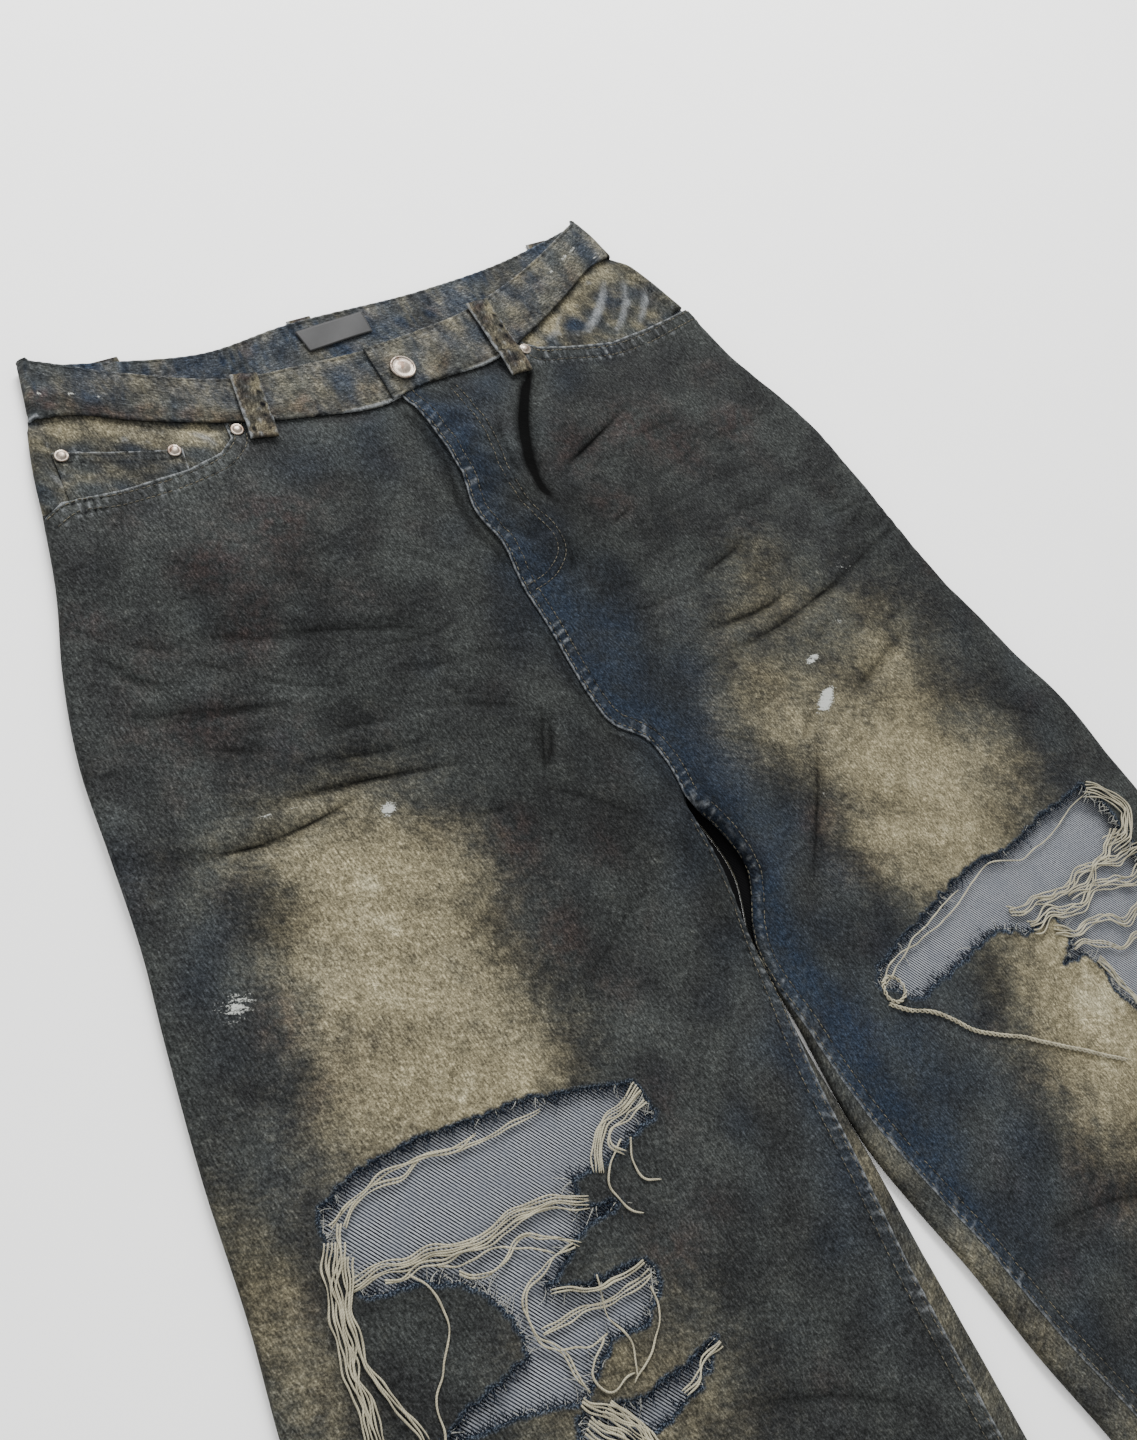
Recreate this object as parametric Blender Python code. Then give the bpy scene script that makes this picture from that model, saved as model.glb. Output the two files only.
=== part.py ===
"""Ripped baggy jeans laid flat on their back, front side up.

Sizes in the tables are millimetres in the plan of the laid garment: x runs across, from the wearer's
right leg (minus) to the left leg (plus), y runs from the hems (minus) up to the waist, and z is the
height over the surface. Every panel is a thin wall of cloth: its cut edge and its rips are drawn flat,
filled with triangles, laid over the height of the garment and folded round its sides.
"""

import math
from functools import partial

import bmesh
import bpy
import numpy as np
from mathutils import Vector
from mathutils.geometry import delaunay_2d_cdt

MM = 0.001

# Sizes of the cut
DENIM = 1.2
WAISTBAND = 2.2
LINING_CLOTH = 1.0
SEAM_GAP = 1.0
LAY_GAP = 0.35
HEM_Y = -1098.0
HEM_WIDTH = 18.0
LAP_WIDTH = 9.5
POCKET_HEM = 12.0
FACING_DROP = 2.8
COIN_DROP = 1.36
LOOP_WIDTH = 17.0
ORIGIN_Y = 545.0

# The folds at the sides of the legs
OUTER_TURN = 4.0
INNER_TURN = 3.5
EDGE_REACH = 48.0
OUTER_RISE = 3.6
INNER_RISE = 2.2
# Raised seams and hems: their rise, and the width over which it fades
LAP_RISE = 0.5
HEM_RISE = 0.45
LAP_FADE = 2.5
CROTCH = (16.0, -391.0)
CROTCH_EASE = (-384.0, -404.0)

# Spacing of the points inside a panel
FRONT_STEP = 26.0
BACK_STEP = 64.0
EDGE_STEP = 27.0

# Side edges of the laid garment: y, x
OUTSEAM = {
    -1: ((-20, -204), (-64, -219), (-94, -227), (-140, -241), (-178, -256), (-228, -271), (-278, -279),
         (-328, -287), (-371, -297), (-436, -311), (-501, -322), (-546, -332), (-700, -350), (-900, -360),
         (-1098, -364)),
    1: ((-20, 209), (-60, 228), (-90, 240), (-139, 251), (-195, 273), (-247, 282), (-328, 290),
        (-403, 305), (-454, 319), (-543, 327), (-700, 348), (-900, 361), (-1098, 366)),
}
INNER_EDGE = {
    -1: ((-391, 15), (-436, 13), (-481, 4), (-537, -3), (-614, -7), (-674, -12), (-768, -19),
         (-900, -36), (-1098, -62)),
    1: ((-391, 17), (-418, 27), (-444, 29), (-481, 7), (-537, 0), (-614, -4), (-648, 1), (-692, 9),
        (-743, 15), (-797, 25), (-950, 44), (-1098, 66)),
}
# How far inside the inner fold the inseam lies on the top, or how far down the fold (minus): y, inset.
# In the gap below the crotch it lies at the bottom, where the back panels close the gap.
IN_THE_GAP = -7.4
ON_THE_SIDE = -INNER_TURN * math.pi / 2
GAP_END = (-478.0, -502.0)
INSEAM = {
    -1: ((-391, IN_THE_GAP), (-478, IN_THE_GAP), (-503, ON_THE_SIDE), (-560, 1), (-1098, 4)),
    1: ((-391, IN_THE_GAP), (-478, IN_THE_GAP), (-503, ON_THE_SIDE), (-560, 1), (-614, 8), (-700, 11),
        (-798, 15), (-1098, 15)),
}

# Front fly edge and rise seam, and the seat seam behind it: y, x
FLY_LINE = ((-84, 4), (-123, 9), (-148, 9), (-180, 2), (-202, 6), (-222, 4), (-273, 3), (-314, 1),
            (-335, 5), (-350, 17), (-363, 19), (-391, 16))
SEAT_LINE = ((-50, 2), (-200, 4), (-330, 8), (-391, 16))
FLY_END = -226.0
FLY_UNDER = 8.0
FLAP_WIDTH = 36.0
FLAP_RISE = 2.0
FLAP_FADE = 25.0
CROTCH_FADE = 20.0

# Edges of the waistband: x, y
FRONT_TOP = ((-197, 5), (-150, -17), (-91, -41), (-40, -46), (4, -48), (60, -44), (109, -33), (164, -13),
             (203, 4))
FRONT_BOTTOM = ((-208, -35), (-185, -38), (-146, -54), (-100, -71), (-50, -83), (-8, -89), (10, -86),
                (83, -81), (115, -70), (160, -50), (190, -36), (213, -32))
BACK_TOP = ((-197, 5), (-150, -7), (-95, -18), (-40, -14), (62, -15), (131, -10), (175, -2), (203, 4))
BACK_BOTTOM = ((-208, -35), (-155, -48), (-95, -57), (-40, -54), (62, -55), (131, -50), (185, -40),
               (213, -32))
BAND_CORNER = {-1: ((-197, 5), (-208, -35)), 1: ((203, 4), (213, -32))}
UNDERLAP_END = 38.0
OVERLAP_END = -2.0
BAND_LOW = 2.6
BAND_HIGH = 5.7
OVERLAP_RISE = 2.6

# Heights of the front over the surface: y, height of the middle of the leg
MIDDLE = ((0, 7.0), (-120, 7.0), (-230, 6.0), (-400, 5.0), (-1098, 4.6))
BACK_HEIGHT = ((-290, 2.0), (-335, DENIM / 2))

# Soft swells of the front: x, y, half width, half length, height
SWELLS = (
    (16, -392, 34, 46, 5.0),
    (-12, -440, 20, 44, 2.6),
    (46, -440, 20, 44, 2.6),
    (-165, -178, 62, 52, 1.6),
    (128, -150, 34, 30, 2.6),
    (185, -225, 62, 50, 1.8),
    (-95, -385, 80, 46, 2.0),
    (205, -430, 60, 60, 2.4),
    (278, -520, 30, 60, 3.2),
    (-205, -700, 80, 90, 1.8),
    (150, -720, 80, 80, 1.6),
    (-170, -930, 90, 90, 2.0),
    (220, -960, 90, 100, 2.0),
)

# Creases of the front: start x, y, end x, y, bow, half width, height (minus for a trough)
CREASES = (
    (-262, -292, -150, -304, -8, 8, -2.0),
    (-205, -286, -86, -316, 3, 7, -1.6),
    (-176, -272, -76, -287, 2, 7, 1.6),
    (-246, -216, -156, -244, 2, 7, -1.5),
    (-184, -189, -58, -236, 2, 8, -1.5),
    (-240, -178, -212, -212, 0, 7, -1.4),
    (-30, -304, -52, -342, 0, 8, -1.6),
    (100, -98, 54, -186, -9, 7, -2.8),
    (84, -100, 40, -178, -9, 7, 1.4),
    (112, -275, 170, -262, 0, 7, -1.5),
    (95, -304, 176, -306, -3, 7, -1.6),
    (101, -328, 282, -296, -6, 8, -1.8),
    (76, -170, 138, -149, 0, 7, -1.6),
    (134, -386, 48, -484, 4, 10, -1.8),
    (236, -366, 164, -386, 0, 8, -1.6),
    (-150, -660, -60, -720, 6, 10, -1.6),
    (60, -700, 170, -745, 8, 10, -1.6),
    (-300, -820, -180, -860, -8, 10, -1.5),
    (150, -870, 270, -900, -8, 10, -1.5),
)

# Pocket mouths, from the side seam to the waistband: x, y
POCKET_MOUTH = {
    -1: ((-227, -95), (-215, -90), (-182, -92), (-142, -92), (-120, -88), (-110, -81), (-107, -70)),
    1: ((240, -91), (215, -94), (167, -97), (129, -89), (112, -84), (107, -74)),
}

# Rips, round their edges: x, y
RIPS = {
    -1: (
        ((-277, -489), (-272, -474), (-248, -469), (-220, -471), (-194, -477), (-163, -484), (-134, -495),
         (-105, -507), (-101, -526), (-123, -529), (-139, -532), (-160, -528), (-164, -544), (-150, -548),
         (-143, -552), (-172, -551), (-182, -559), (-199, -562), (-181, -572), (-158, -578), (-148, -580),
         (-147, -593), (-164, -603), (-186, -600), (-208, -614), (-225, -605), (-247, -598), (-274, -591),
         (-261, -585), (-235, -584), (-221, -582), (-219, -564), (-224, -549), (-231, -538), (-250, -526),
         (-272, -520)),
        ((-216, -618), (-205, -620), (-184, -629), (-160, -631), (-137, -629), (-150, -639), (-178, -644),
         (-205, -641), (-222, -634)),
    ),
    1: (
        ((60, -541), (68, -534), (91, -528), (131, -522), (149, -518), (176, -516), (202, -521),
         (237, -516), (284, -514), (290, -530), (291, -560), (286, -600), (268, -635), (240, -652),
         (214, -644), (208, -626), (210, -612), (206, -600), (186, -596), (205, -585), (202, -569),
         (174, -568), (157, -555), (123, -558), (78, -560), (71, -551)),
    ),
}

# Bundles of pulled threads: count of strands, their spacing, and the middle of the bundle as x, y, z from
# the root strip on the cloth to the loose ends
THREADS = {
    "rip_threads_top": (3, 1.7, (
        (-270.5, -480, 5.4), (-262, -482.5, 4.4), (-247, -477, 4.2), (-226, -480.5, 4.2), (-203, -482, 4.2),
        (-180, -487, 4.4), (-160, -490, 4.6))),
    "rip_threads_across": (5, 1.7, (
        (-268, -509, 5.2), (-256, -512, 4.3), (-243, -514, 4.2), (-228, -522, 4.2), (-207, -526, 4.2),
        (-186, -530.5, 4.4), (-172, -536, 4.8))),
    "rip_threads_hanging": (5, 1.7, (
        (-285, -497, 9.2), (-289, -510, 9.4), (-292, -530, 9.6), (-296, -552, 9.8), (-301, -575, 10.0),
        (-303, -606, 10.0))),
    "rip_threads_right": (4, 1.7, (
        (-106.5, -514, 5.4), (-117, -518, 4.4), (-129, -519, 4.2), (-139, -524, 4.2), (-147, -524.5, 4.4))),
    "rip_threads_low": (3, 1.7, (
        (-151.5, -587, 5.2), (-164, -590, 4.4), (-180, -588, 4.2), (-196, -585, 4.2), (-212, -585, 4.4))),
    "rip_threads_fringe": (8, 1.8, (
        (-200, -629.5, 4.6), (-197.5, -634, 5.0), (-193, -642, 8.4), (-187, -652, 9.0), (-178, -662, 9.0))),
    "left_rip_threads_top": (2, 1.7, (
        (66, -541, 5.4), (80, -537, 4.4), (100, -531.5, 4.2), (124, -527, 4.2), (146, -525, 4.4))),
    "left_rip_threads_side": (9, 3.4, (
        (283, -574, 5.4), (268, -566, 4.2), (254, -576, 4.0), (240, -569, 4.0), (226, -579, 4.2),
        (216, -577, 4.6))),
    "left_rip_threads_cord": (2, 1.7, (
        (56, -556, 9.0), (72, -568, 9.2), (88, -577, 9.2), (110, -600, 9.0), (140, -626, 9.0),
        (182, -664, 9.0))),
}
STRAND = 1.0
STRAND_END_SHARE = 0.8
STRAND_FLATNESS = 0.9
ROOT_STRIP = 1.3

# Fasteners: x, y
BUTTON_PLACE = (13.0, -71.0)
BUTTON_RADIUS = 8.5
RIVETS = {
    "rivet_coin_outer": (-202, -62),
    "rivet_coin_inner": (-143, -77),
    "rivet_pocket_right": (-104, -77),
    "rivet_pocket_left": (103, -82),
}
RIVET_RADIUS = 4.0
LABEL = ((-35, -22), (14, -20), (13, -36), (-33, -38))
BACK_LOOPS = {"belt_loop_back_right": -150, "belt_loop_back_middle": -26, "belt_loop_back_left": 168}
FRONT_LOOPS = {
    "belt_loop_front_right": ((-82, -43), (-92, -88)),
    "belt_loop_front_left": ((91, -38), (90, -98)),
}

# Finishes: base colour, roughness, metallic
COLOURS = {
    "denim": ((0.050, 0.056, 0.055, 1), 0.9, 0),
    "thread": ((0.47, 0.44, 0.36, 1), 0.85, 0),
    "label": ((0.012, 0.012, 0.013, 1), 0.7, 0),
    "antique_metal": ((0.23, 0.19, 0.16, 1), 0.4, 0.9),
    "zip_tape": ((0.02, 0.024, 0.035, 1), 0.85, 0),
}


def smooth_line(rows):
    """A smooth curve through rows of (place, value), as a function of place."""
    places, values = np.array(sorted(rows), float).T
    slopes = np.gradient(values, places)

    def value_at(place):
        i = int(np.clip(np.searchsorted(places, place) - 1, 0, len(places) - 2))
        span = places[i + 1] - places[i]
        t = min(max((place - places[i]) / span, 0), 1)
        rest = 1 - t
        return (
            (1 + 2 * t) * rest * rest * values[i]
            + t * rest * rest * span * slopes[i]
            + t * t * (3 - 2 * t) * values[i + 1]
            - t * t * rest * span * slopes[i + 1]
        )

    return value_at


def ease(t):
    """A smooth step from 0 to 1."""
    t = min(max(t, 0), 1)
    return t * t * (3 - 2 * t)


outseam = {side: smooth_line(rows) for side, rows in OUTSEAM.items()}
inner_edge = {side: smooth_line(rows) for side, rows in INNER_EDGE.items()}
inseam = {side: smooth_line(rows) for side, rows in INSEAM.items()}
fly_line = smooth_line(FLY_LINE)
seat_line = smooth_line(SEAT_LINE)
front_top = smooth_line(FRONT_TOP)
front_bottom = smooth_line(FRONT_BOTTOM)
back_top = smooth_line(BACK_TOP)
back_bottom = smooth_line(BACK_BOTTOM)
middle = smooth_line(MIDDLE)


def outer_turn(side, y):
    """Where the cloth starts to turn down at the outer side of a leg."""
    return outseam[side](y) - side * (OUTER_TURN + DENIM / 2)


def inner_turn(side, y):
    """Where it starts to turn down between the legs."""
    return inner_edge[side](y) + side * (INNER_TURN + DENIM / 2)


def crotch_share(y):
    """0 above the crotch, where there is no inner fold, and 1 below it."""
    start, end = CROTCH_EASE
    return ease((y - start) / (end - start))


def back_height(y):
    """Height of the back cloth's middle: it lies on the back pockets, and below them on the surface."""
    (start, high), (end, low) = BACK_HEIGHT
    return high + (low - high) * ease((y - start) / (end - start))


def crease_height(x, y):
    """What the creases add to the height of the front at a point."""
    total = 0
    for x0, y0, x1, y1, bow, half, height in CREASES:
        run = math.hypot(x1 - x0, y1 - y0)
        ux, uy = (x1 - x0) / run, (y1 - y0) / run
        along = ((x - x0) * ux + (y - y0) * uy) / run
        if 0 < along < 1:
            off = (y - y0) * ux - (x - x0) * uy - bow * 4 * along * (1 - along)
            total += height * math.exp(-((off / half) ** 2)) * math.sin(math.pi * along) ** 0.7
    return total


def front_height(x, y):
    """Height of the middle of the front cloth where it isn't folded down."""
    high = middle(y)
    for side in (-1, 1):
        inside = side * (outer_turn(side, y) - x)
        high += OUTER_RISE * (1 - ease(inside / EDGE_REACH))
    split = (inner_edge[-1](y) + inner_edge[1](y)) / 2
    side = -1 if x < split else 1
    inside = side * (x - inner_turn(side, y))
    high += INNER_RISE * (1 - ease(inside / EDGE_REACH)) * crotch_share(y)
    for sx, sy, half_x, half_y, height in SWELLS:
        high += height * math.exp(-(((x - sx) / half_x) ** 2) - ((y - sy) / half_y) ** 2)
    return high + crease_height(x, y)


def gap_share(y):
    """0 where the back closes the gap below the crotch, and 1 further down, where it folds up."""
    start, end = GAP_END
    return ease((y - start) / (end - start))


def folds(side, y, inner_share):
    """The two folds of a leg: which way is out, where the turn starts, its width and its share."""
    return (
        (side, outer_turn(side, y), OUTER_TURN, 1),
        (-side, inner_turn(side, y), INNER_TURN, inner_share),
    )


def place_front(side, x, y, lift=0):
    """Lays a flat point of a front panel over the garment and round its sides."""
    for out, turn_x, across, share in folds(side, y, crotch_share(y)):
        run = out * (x - turn_x)
        if run > 0 and share:
            top = front_height(turn_x, y) + lift
            half = (top - back_height(y)) / 2
            angle = min(run / across, math.pi)
            folded_x = turn_x + out * across * math.sin(angle)
            folded_z = top - half * (1 - math.cos(angle))
            flat_z = front_height(x, y) + lift
            return x + (folded_x - x) * share, y, flat_z + (folded_z - flat_z) * share
    return x, y, front_height(x, y) + lift


def place_back(side, x, y):
    """Lays a flat point of a back panel on the surface, round the sides and on to the front."""
    low = back_height(y)
    for out, turn_x, across, share in folds(side, y, gap_share(y)):
        run = out * (x - turn_x)
        if run > 0 and share:
            half = (front_height(turn_x, y) - low) / 2
            angle = min(run / across, math.pi)
            past = max(run - math.pi * across, 0)
            folded_x = turn_x + out * (across * math.sin(angle) - past)
            folded_z = low + half * (1 - math.cos(angle))
            if past:
                folded_z = front_height(folded_x, y)
            return x + (folded_x - x) * share, y, low + (folded_z - low) * share
    return x, y, low


def front_inseam(side, y):
    """Where a front panel ends at its inner side, as a flat x."""
    return inner_turn(side, y) + side * (inseam[side](y) + SEAM_GAP / 2)


def back_inseam(side, y):
    """Where a back panel ends: at the middle of the gap, and below it at the inseam."""
    middle_x = (inner_edge[-1](y) + inner_edge[1](y)) / 2 + side * SEAM_GAP / 2
    seam_x = inner_turn(side, y) - side * (math.pi * INNER_TURN + inseam[side](y) - SEAM_GAP / 2)
    return middle_x + (seam_x - middle_x) * gap_share(y)


def side_seam(side, y):
    """Both panels end a quarter turn round the outer fold, half a gap short of the seam."""
    return outer_turn(side, y) + side * (math.pi / 2 * OUTER_TURN - SEAM_GAP / 2)


def steps(start, end, step):
    """Even places from start to end, about a step apart."""
    count = max(1, round(abs(end - start) / step))
    return [start + (end - start) * i / count for i in range(count + 1)]


def seam_steps(start, end):
    """Heights along a side seam at the places that both of its panels share."""
    low, high = sorted((start, end))
    count = int((high - HEM_Y) / EDGE_STEP) + 1
    shared = [HEM_Y + i * EDGE_STEP for i in range(count + 1)]
    found = [low] + [y for y in shared if low + 6 < y < high - 6] + [high]
    return found if start < end else found[::-1]


def through(points, step):
    """Points no further apart than a step along the straight runs between the given ones."""
    found = []
    for (x0, y0), (x1, y1) in zip(points, points[1:]):
        count = max(1, math.ceil(math.hypot(x1 - x0, y1 - y0) / step))
        found += [(x0 + (x1 - x0) * i / count, y0 + (y1 - y0) * i / count) for i in range(count)]
    return found + [points[-1]]


def inside_ring(points, ring):
    """Which of the points lie inside a closed ring."""
    points, ring = np.asarray(points, float), np.asarray(ring, float)
    x, y = points[:, 0], points[:, 1]
    found = np.zeros(len(points), bool)
    for (x0, y0), (x1, y1) in zip(ring, np.roll(ring, -1, axis=0)):
        if y0 != y1:
            cross = (x1 - x0) * (y - y0) / (y1 - y0) + x0
            found ^= ((y0 > y) != (y1 > y)) & (x < cross)
    return found


def clear_of(points, rings, margin):
    """The points that are further than the margin from every ring."""
    points = np.asarray(points, float)
    keep = np.ones(len(points), bool)
    for ring in rings:
        ring = np.asarray(ring, float)
        for a, b in zip(ring, np.roll(ring, -1, axis=0)):
            run = b - a
            t = np.clip((points - a) @ run / max(run @ run, 1e-9), 0, 1)
            keep &= np.linalg.norm(points - a - t[:, None] * run, axis=1) > margin
    return points[keep]


def thinned(points, margin):
    """Drops each point that lies too close to one before it."""
    kept = []
    for point in points:
        if all(math.hypot(point[0] - x, point[1] - y) > margin for x, y in kept):
            kept.append(point)
    return kept


def fill(outline, holes, inner, margin):
    """Triangles over a flat outline with holes: corner points and faces."""
    rings = [outline, *holes]
    points, edges = [], []
    for ring in rings:
        first = len(points)
        points += ring
        edges += [(first + i, first + (i + 1) % len(ring)) for i in range(len(ring))]
    if len(inner):
        inner = np.asarray(inner, float)[inside_ring(inner, outline)]
        points += [tuple(p) for p in thinned(clear_of(inner, rings, margin), margin)]
    corners, _, faces, *_ = delaunay_2d_cdt([Vector(p) for p in points], edges, [], 0, 1e-5)
    middles = np.array([np.mean([corners[i] for i in face], axis=0) for face in faces])
    keep = inside_ring(middles, outline)
    for hole in holes:
        keep &= ~inside_ring(middles, hole)
    return corners, [face for face, wanted in zip(faces, keep) if wanted]


def grid(x0, x1, y0, y1, step):
    """A staggered grid of points."""
    rows = steps(y0, y1, step * 0.87)
    return [(x + step / 2 * (row % 2), y) for row, y in enumerate(rows) for x in steps(x0, x1, step)]


def crease_points(step):
    """Points along each crease and along its two feet."""
    points = []
    for x0, y0, x1, y1, bow, half, _ in CREASES:
        run = math.hypot(x1 - x0, y1 - y0)
        ux, uy = (x1 - x0) / run, (y1 - y0) / run
        for along in steps(0.04, 0.96, step / run):
            for off in (0, 1.3 * half, -1.3 * half):
                side = off + bow * 4 * along * (1 - along)
                points.append((x0 + ux * run * along - uy * side, y0 + uy * run * along + ux * side))
    return points


def material(name):
    """The finish of that name, made at its first use."""
    found = bpy.data.materials.get(name)
    if not found:
        colour, roughness, metallic = COLOURS[name]
        found = bpy.data.materials.new(name)
        found.use_nodes = True
        shader = found.node_tree.nodes["Principled BSDF"]
        shader.inputs["Base Color"].default_value = colour
        shader.inputs["Roughness"].default_value = roughness
        shader.inputs["Metallic"].default_value = metallic
    return found


def add_piece(name, points, faces, finish, wall=0, smooth=True):
    """An object from points in millimetres; a wall gives an open sheet its thickness."""
    mesh = bpy.data.meshes.new(name)
    mesh.from_pydata([Vector(p) * MM for p in points], [], faces)
    mesh.materials.append(material(finish))
    if smooth:
        mesh.shade_smooth()
    piece = bpy.data.objects.new(name, mesh)
    bpy.context.collection.objects.link(piece)
    piece.parent = laid_out
    if wall:
        thickness = piece.modifiers.new("wall", "SOLIDIFY")
        thickness.thickness = wall * MM
        thickness.offset = 0
    return piece


def add_panel(name, flat, place, finish="denim", wall=DENIM):
    """A piece from flat triangles laid in their place."""
    corners, faces = flat
    return add_piece(name, [place(*corner) for corner in corners], faces, finish, wall)


def fold_points(side, y_range, back):
    """Rings of points round the two folds of a leg."""
    points = []
    for y in seam_steps(*y_range):
        for degrees in (0, 35, 65):
            points.append((outer_turn(side, y) + side * OUTER_TURN * math.radians(degrees), y))
        if y < (GAP_END[1] if back else CROTCH[1]):
            for degrees in (0, 35, 70, 110, 145, 180) if back else (0, 35, 65, 95):
                points.append((inner_turn(side, y) - side * INNER_TURN * math.radians(degrees), y))
    return points


def distance_to_run(point, a, b):
    """Distance of a flat point from the straight run between two others."""
    run, off = Vector(b) - Vector(a), Vector(point) - Vector(a)
    share = min(max(off.dot(run) / run.dot(run), 0), 1)
    return (off - run * share).length


def lap_share(inside, width):
    """1 on a lapped strip of cloth, fading to 0 just inside its edge."""
    return 1 - ease((inside - width) / LAP_FADE + 0.8)


def lap_lift(side, x, y):
    """Raised seams and hems of a front: the inseam lap, the leg hem, the pocket hem and the flap."""
    lift = 0
    if y < CROTCH[1]:
        inside = side * (x - front_inseam(side, y))
        lift = LAP_RISE * lap_share(inside, LAP_WIDTH) * crotch_share(y)
    lift = max(lift, HEM_RISE * lap_share(y - HEM_Y, HEM_WIDTH))
    if y > POCKET_MOUTH[side][0][1] - 2 * POCKET_HEM:
        mouth = POCKET_MOUTH[side]
        away = min(distance_to_run((x, y), a, b) for a, b in zip(mouth, mouth[1:]))
        lift = max(lift, HEM_RISE * lap_share(away, POCKET_HEM))
    if side > 0:
        inside = x - fly_line(y)
        if y > CROTCH[1]:
            fade = ease((y - CROTCH[1]) / CROTCH_FADE)
            lift = max(lift, LAP_RISE * fade * lap_share(inside, LAP_WIDTH))
        ending = ease((y - FLY_END + FLAP_FADE / 2) / FLAP_FADE)
        lift += FLAP_RISE * ending * (1 - ease((inside - FLAP_WIDTH) / FLAP_FADE))
    return lift


def place_lapped(side, x, y):
    """Lays a flat point of a front panel, with its laps and hems raised."""
    return place_front(side, x, y, lap_lift(side, x, y))


def make_front(side, name):
    """A front leg panel with its rips, its pocket mouth and its half of the fly."""
    inner = [(front_inseam(side, y), y) for y in seam_steps(CROTCH[1] - 13, HEM_Y)]
    hem = through([inner[-1], (side_seam(side, HEM_Y), HEM_Y)], EDGE_STEP)[1:-1]
    outer = [(side_seam(side, y), y) for y in seam_steps(HEM_Y, POCKET_MOUTH[side][0][1] - 4)]
    mouth = through(POCKET_MOUTH[side][1:], 11)
    if side > 0:
        last = fly_line(-90) + SEAM_GAP / 2
        fly_ys = steps(-92, CROTCH[1], 15)
        centre = [(fly_line(y) + SEAM_GAP / 2, y) for y in fly_ys]
    else:
        last = fly_line(-90) + FLY_UNDER
        centre = [(fly_line(y) + FLY_UNDER, y) for y in steps(-92, FLY_END, 24)]
        centre += [(fly_line(y) - SEAM_GAP / 2, y) for y in steps(FLY_END - 1, CROTCH[1], 15)]
    top = [(x, front_bottom(x) - SEAM_GAP) for x in steps(mouth[-1][0], last, 16)][1:]
    mouth[-1] = (mouth[-1][0], front_bottom(mouth[-1][0]) - SEAM_GAP)
    outline = inner + hem + outer + mouth + top + centre
    holes = [through(rip + rip[:1], 14)[:-1] for rip in RIPS[side]]
    xs = [x for x, _ in outline]
    ridges = []
    for y in steps(CROTCH[1] - 20, HEM_Y + 24, EDGE_STEP):
        ridges += [(front_inseam(side, y) + side * d, y) for d in (LAP_WIDTH - 2, LAP_WIDTH + 2)]
    for x in steps(min(xs), max(xs), EDGE_STEP):
        ridges += [(x, HEM_Y + HEM_WIDTH - 2), (x, HEM_Y + HEM_WIDTH + 2)]
    for x, y in mouth:
        ridges += [(x, y - POCKET_HEM + 2), (x, y - POCKET_HEM - 2)]
    if side > 0:
        for y in steps(-100, CROTCH[1] + 14, 20):
            ridges += [(fly_line(y) + d, y) for d in (LAP_WIDTH - 2, LAP_WIDTH + 2)]
        for y in steps(-100, FLY_END, 20):
            ridges += [(fly_line(y) + d, y) for d in (FLAP_WIDTH, FLAP_WIDTH + 18)]
    fine = fold_points(side, (HEM_Y, -112), back=False) + ridges + crease_points(FRONT_STEP)
    wide = grid(min(xs), max(xs), HEM_Y, -60, FRONT_STEP)
    near = clear_of(wide, [[p] for p in fine], FRONT_STEP * 0.45)
    flat = fill(outline, holes, fine + [tuple(p) for p in near], 2.4)
    return add_panel(name, flat, partial(place_lapped, side))


def yoke_seam(side, x):
    """The slanted seam between yoke and back panel."""
    share = abs(x - seat_line(-110)) / 225
    return -116 + 34 * share


def make_back(side, name):
    """A back leg panel, whose inner side turns over on to the front as far as the inseam."""
    inner = [(back_inseam(side, y), y) for y in seam_steps(CROTCH[1] - 13, HEM_Y)]
    hem = [(x, HEM_Y) for x in steps(inner_turn(side, HEM_Y), outer_turn(side, HEM_Y), BACK_STEP)]
    outer = [(side_seam(side, y), y) for y in seam_steps(HEM_Y, yoke_seam(side, side * 225) - 6)]
    end = seat_line(-118) + side * SEAM_GAP / 2
    top = [(x, yoke_seam(side, x) - SEAM_GAP) for x in steps(side * 222, end, 40)]
    seat = [(seat_line(y) + side * SEAM_GAP / 2, y) for y in steps(-122, CROTCH[1], 30)]
    outline = inner + hem + outer + top + seat
    xs = [x for x, _ in outline]
    fine = fold_points(side, (HEM_Y, -100), back=True)
    fine += [(x, y) for y in (-285, -300, -318, -335, -345) for x in steps(min(xs), max(xs), 48)]
    flat = fill(outline, [], fine + grid(min(xs), max(xs), HEM_Y, -100, BACK_STEP), 1.6)
    return add_panel(name, flat, partial(place_back, side))


def make_yoke(side, name):
    """The piece between the waistband and the back panel."""
    end = seat_line(-80) + side * SEAM_GAP / 2
    outer_x = side * 222
    low = [(x, yoke_seam(side, x)) for x in steps(end, outer_x, 32)]
    outer = [(side_seam(side, y), y) for y in (-84, -66, -50, -42)]
    high = [(x, back_bottom(x) - SEAM_GAP) for x in steps(side * 206, end, 22)]
    outline = low + outer + high
    fine = fold_points(side, (-80, -48), back=True)
    flat = fill(outline, [], fine, 1.6)
    return add_panel(name, flat, partial(place_back, side))


def under_front(side, drop):
    """Places a point under the front cloth; at the side it comes up to the garment's own fold."""

    def place(x, y):
        inside = side * (outer_turn(side, y) - x)
        return place_front(side, x, y, -drop * ease(inside / 6))

    return place


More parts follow.
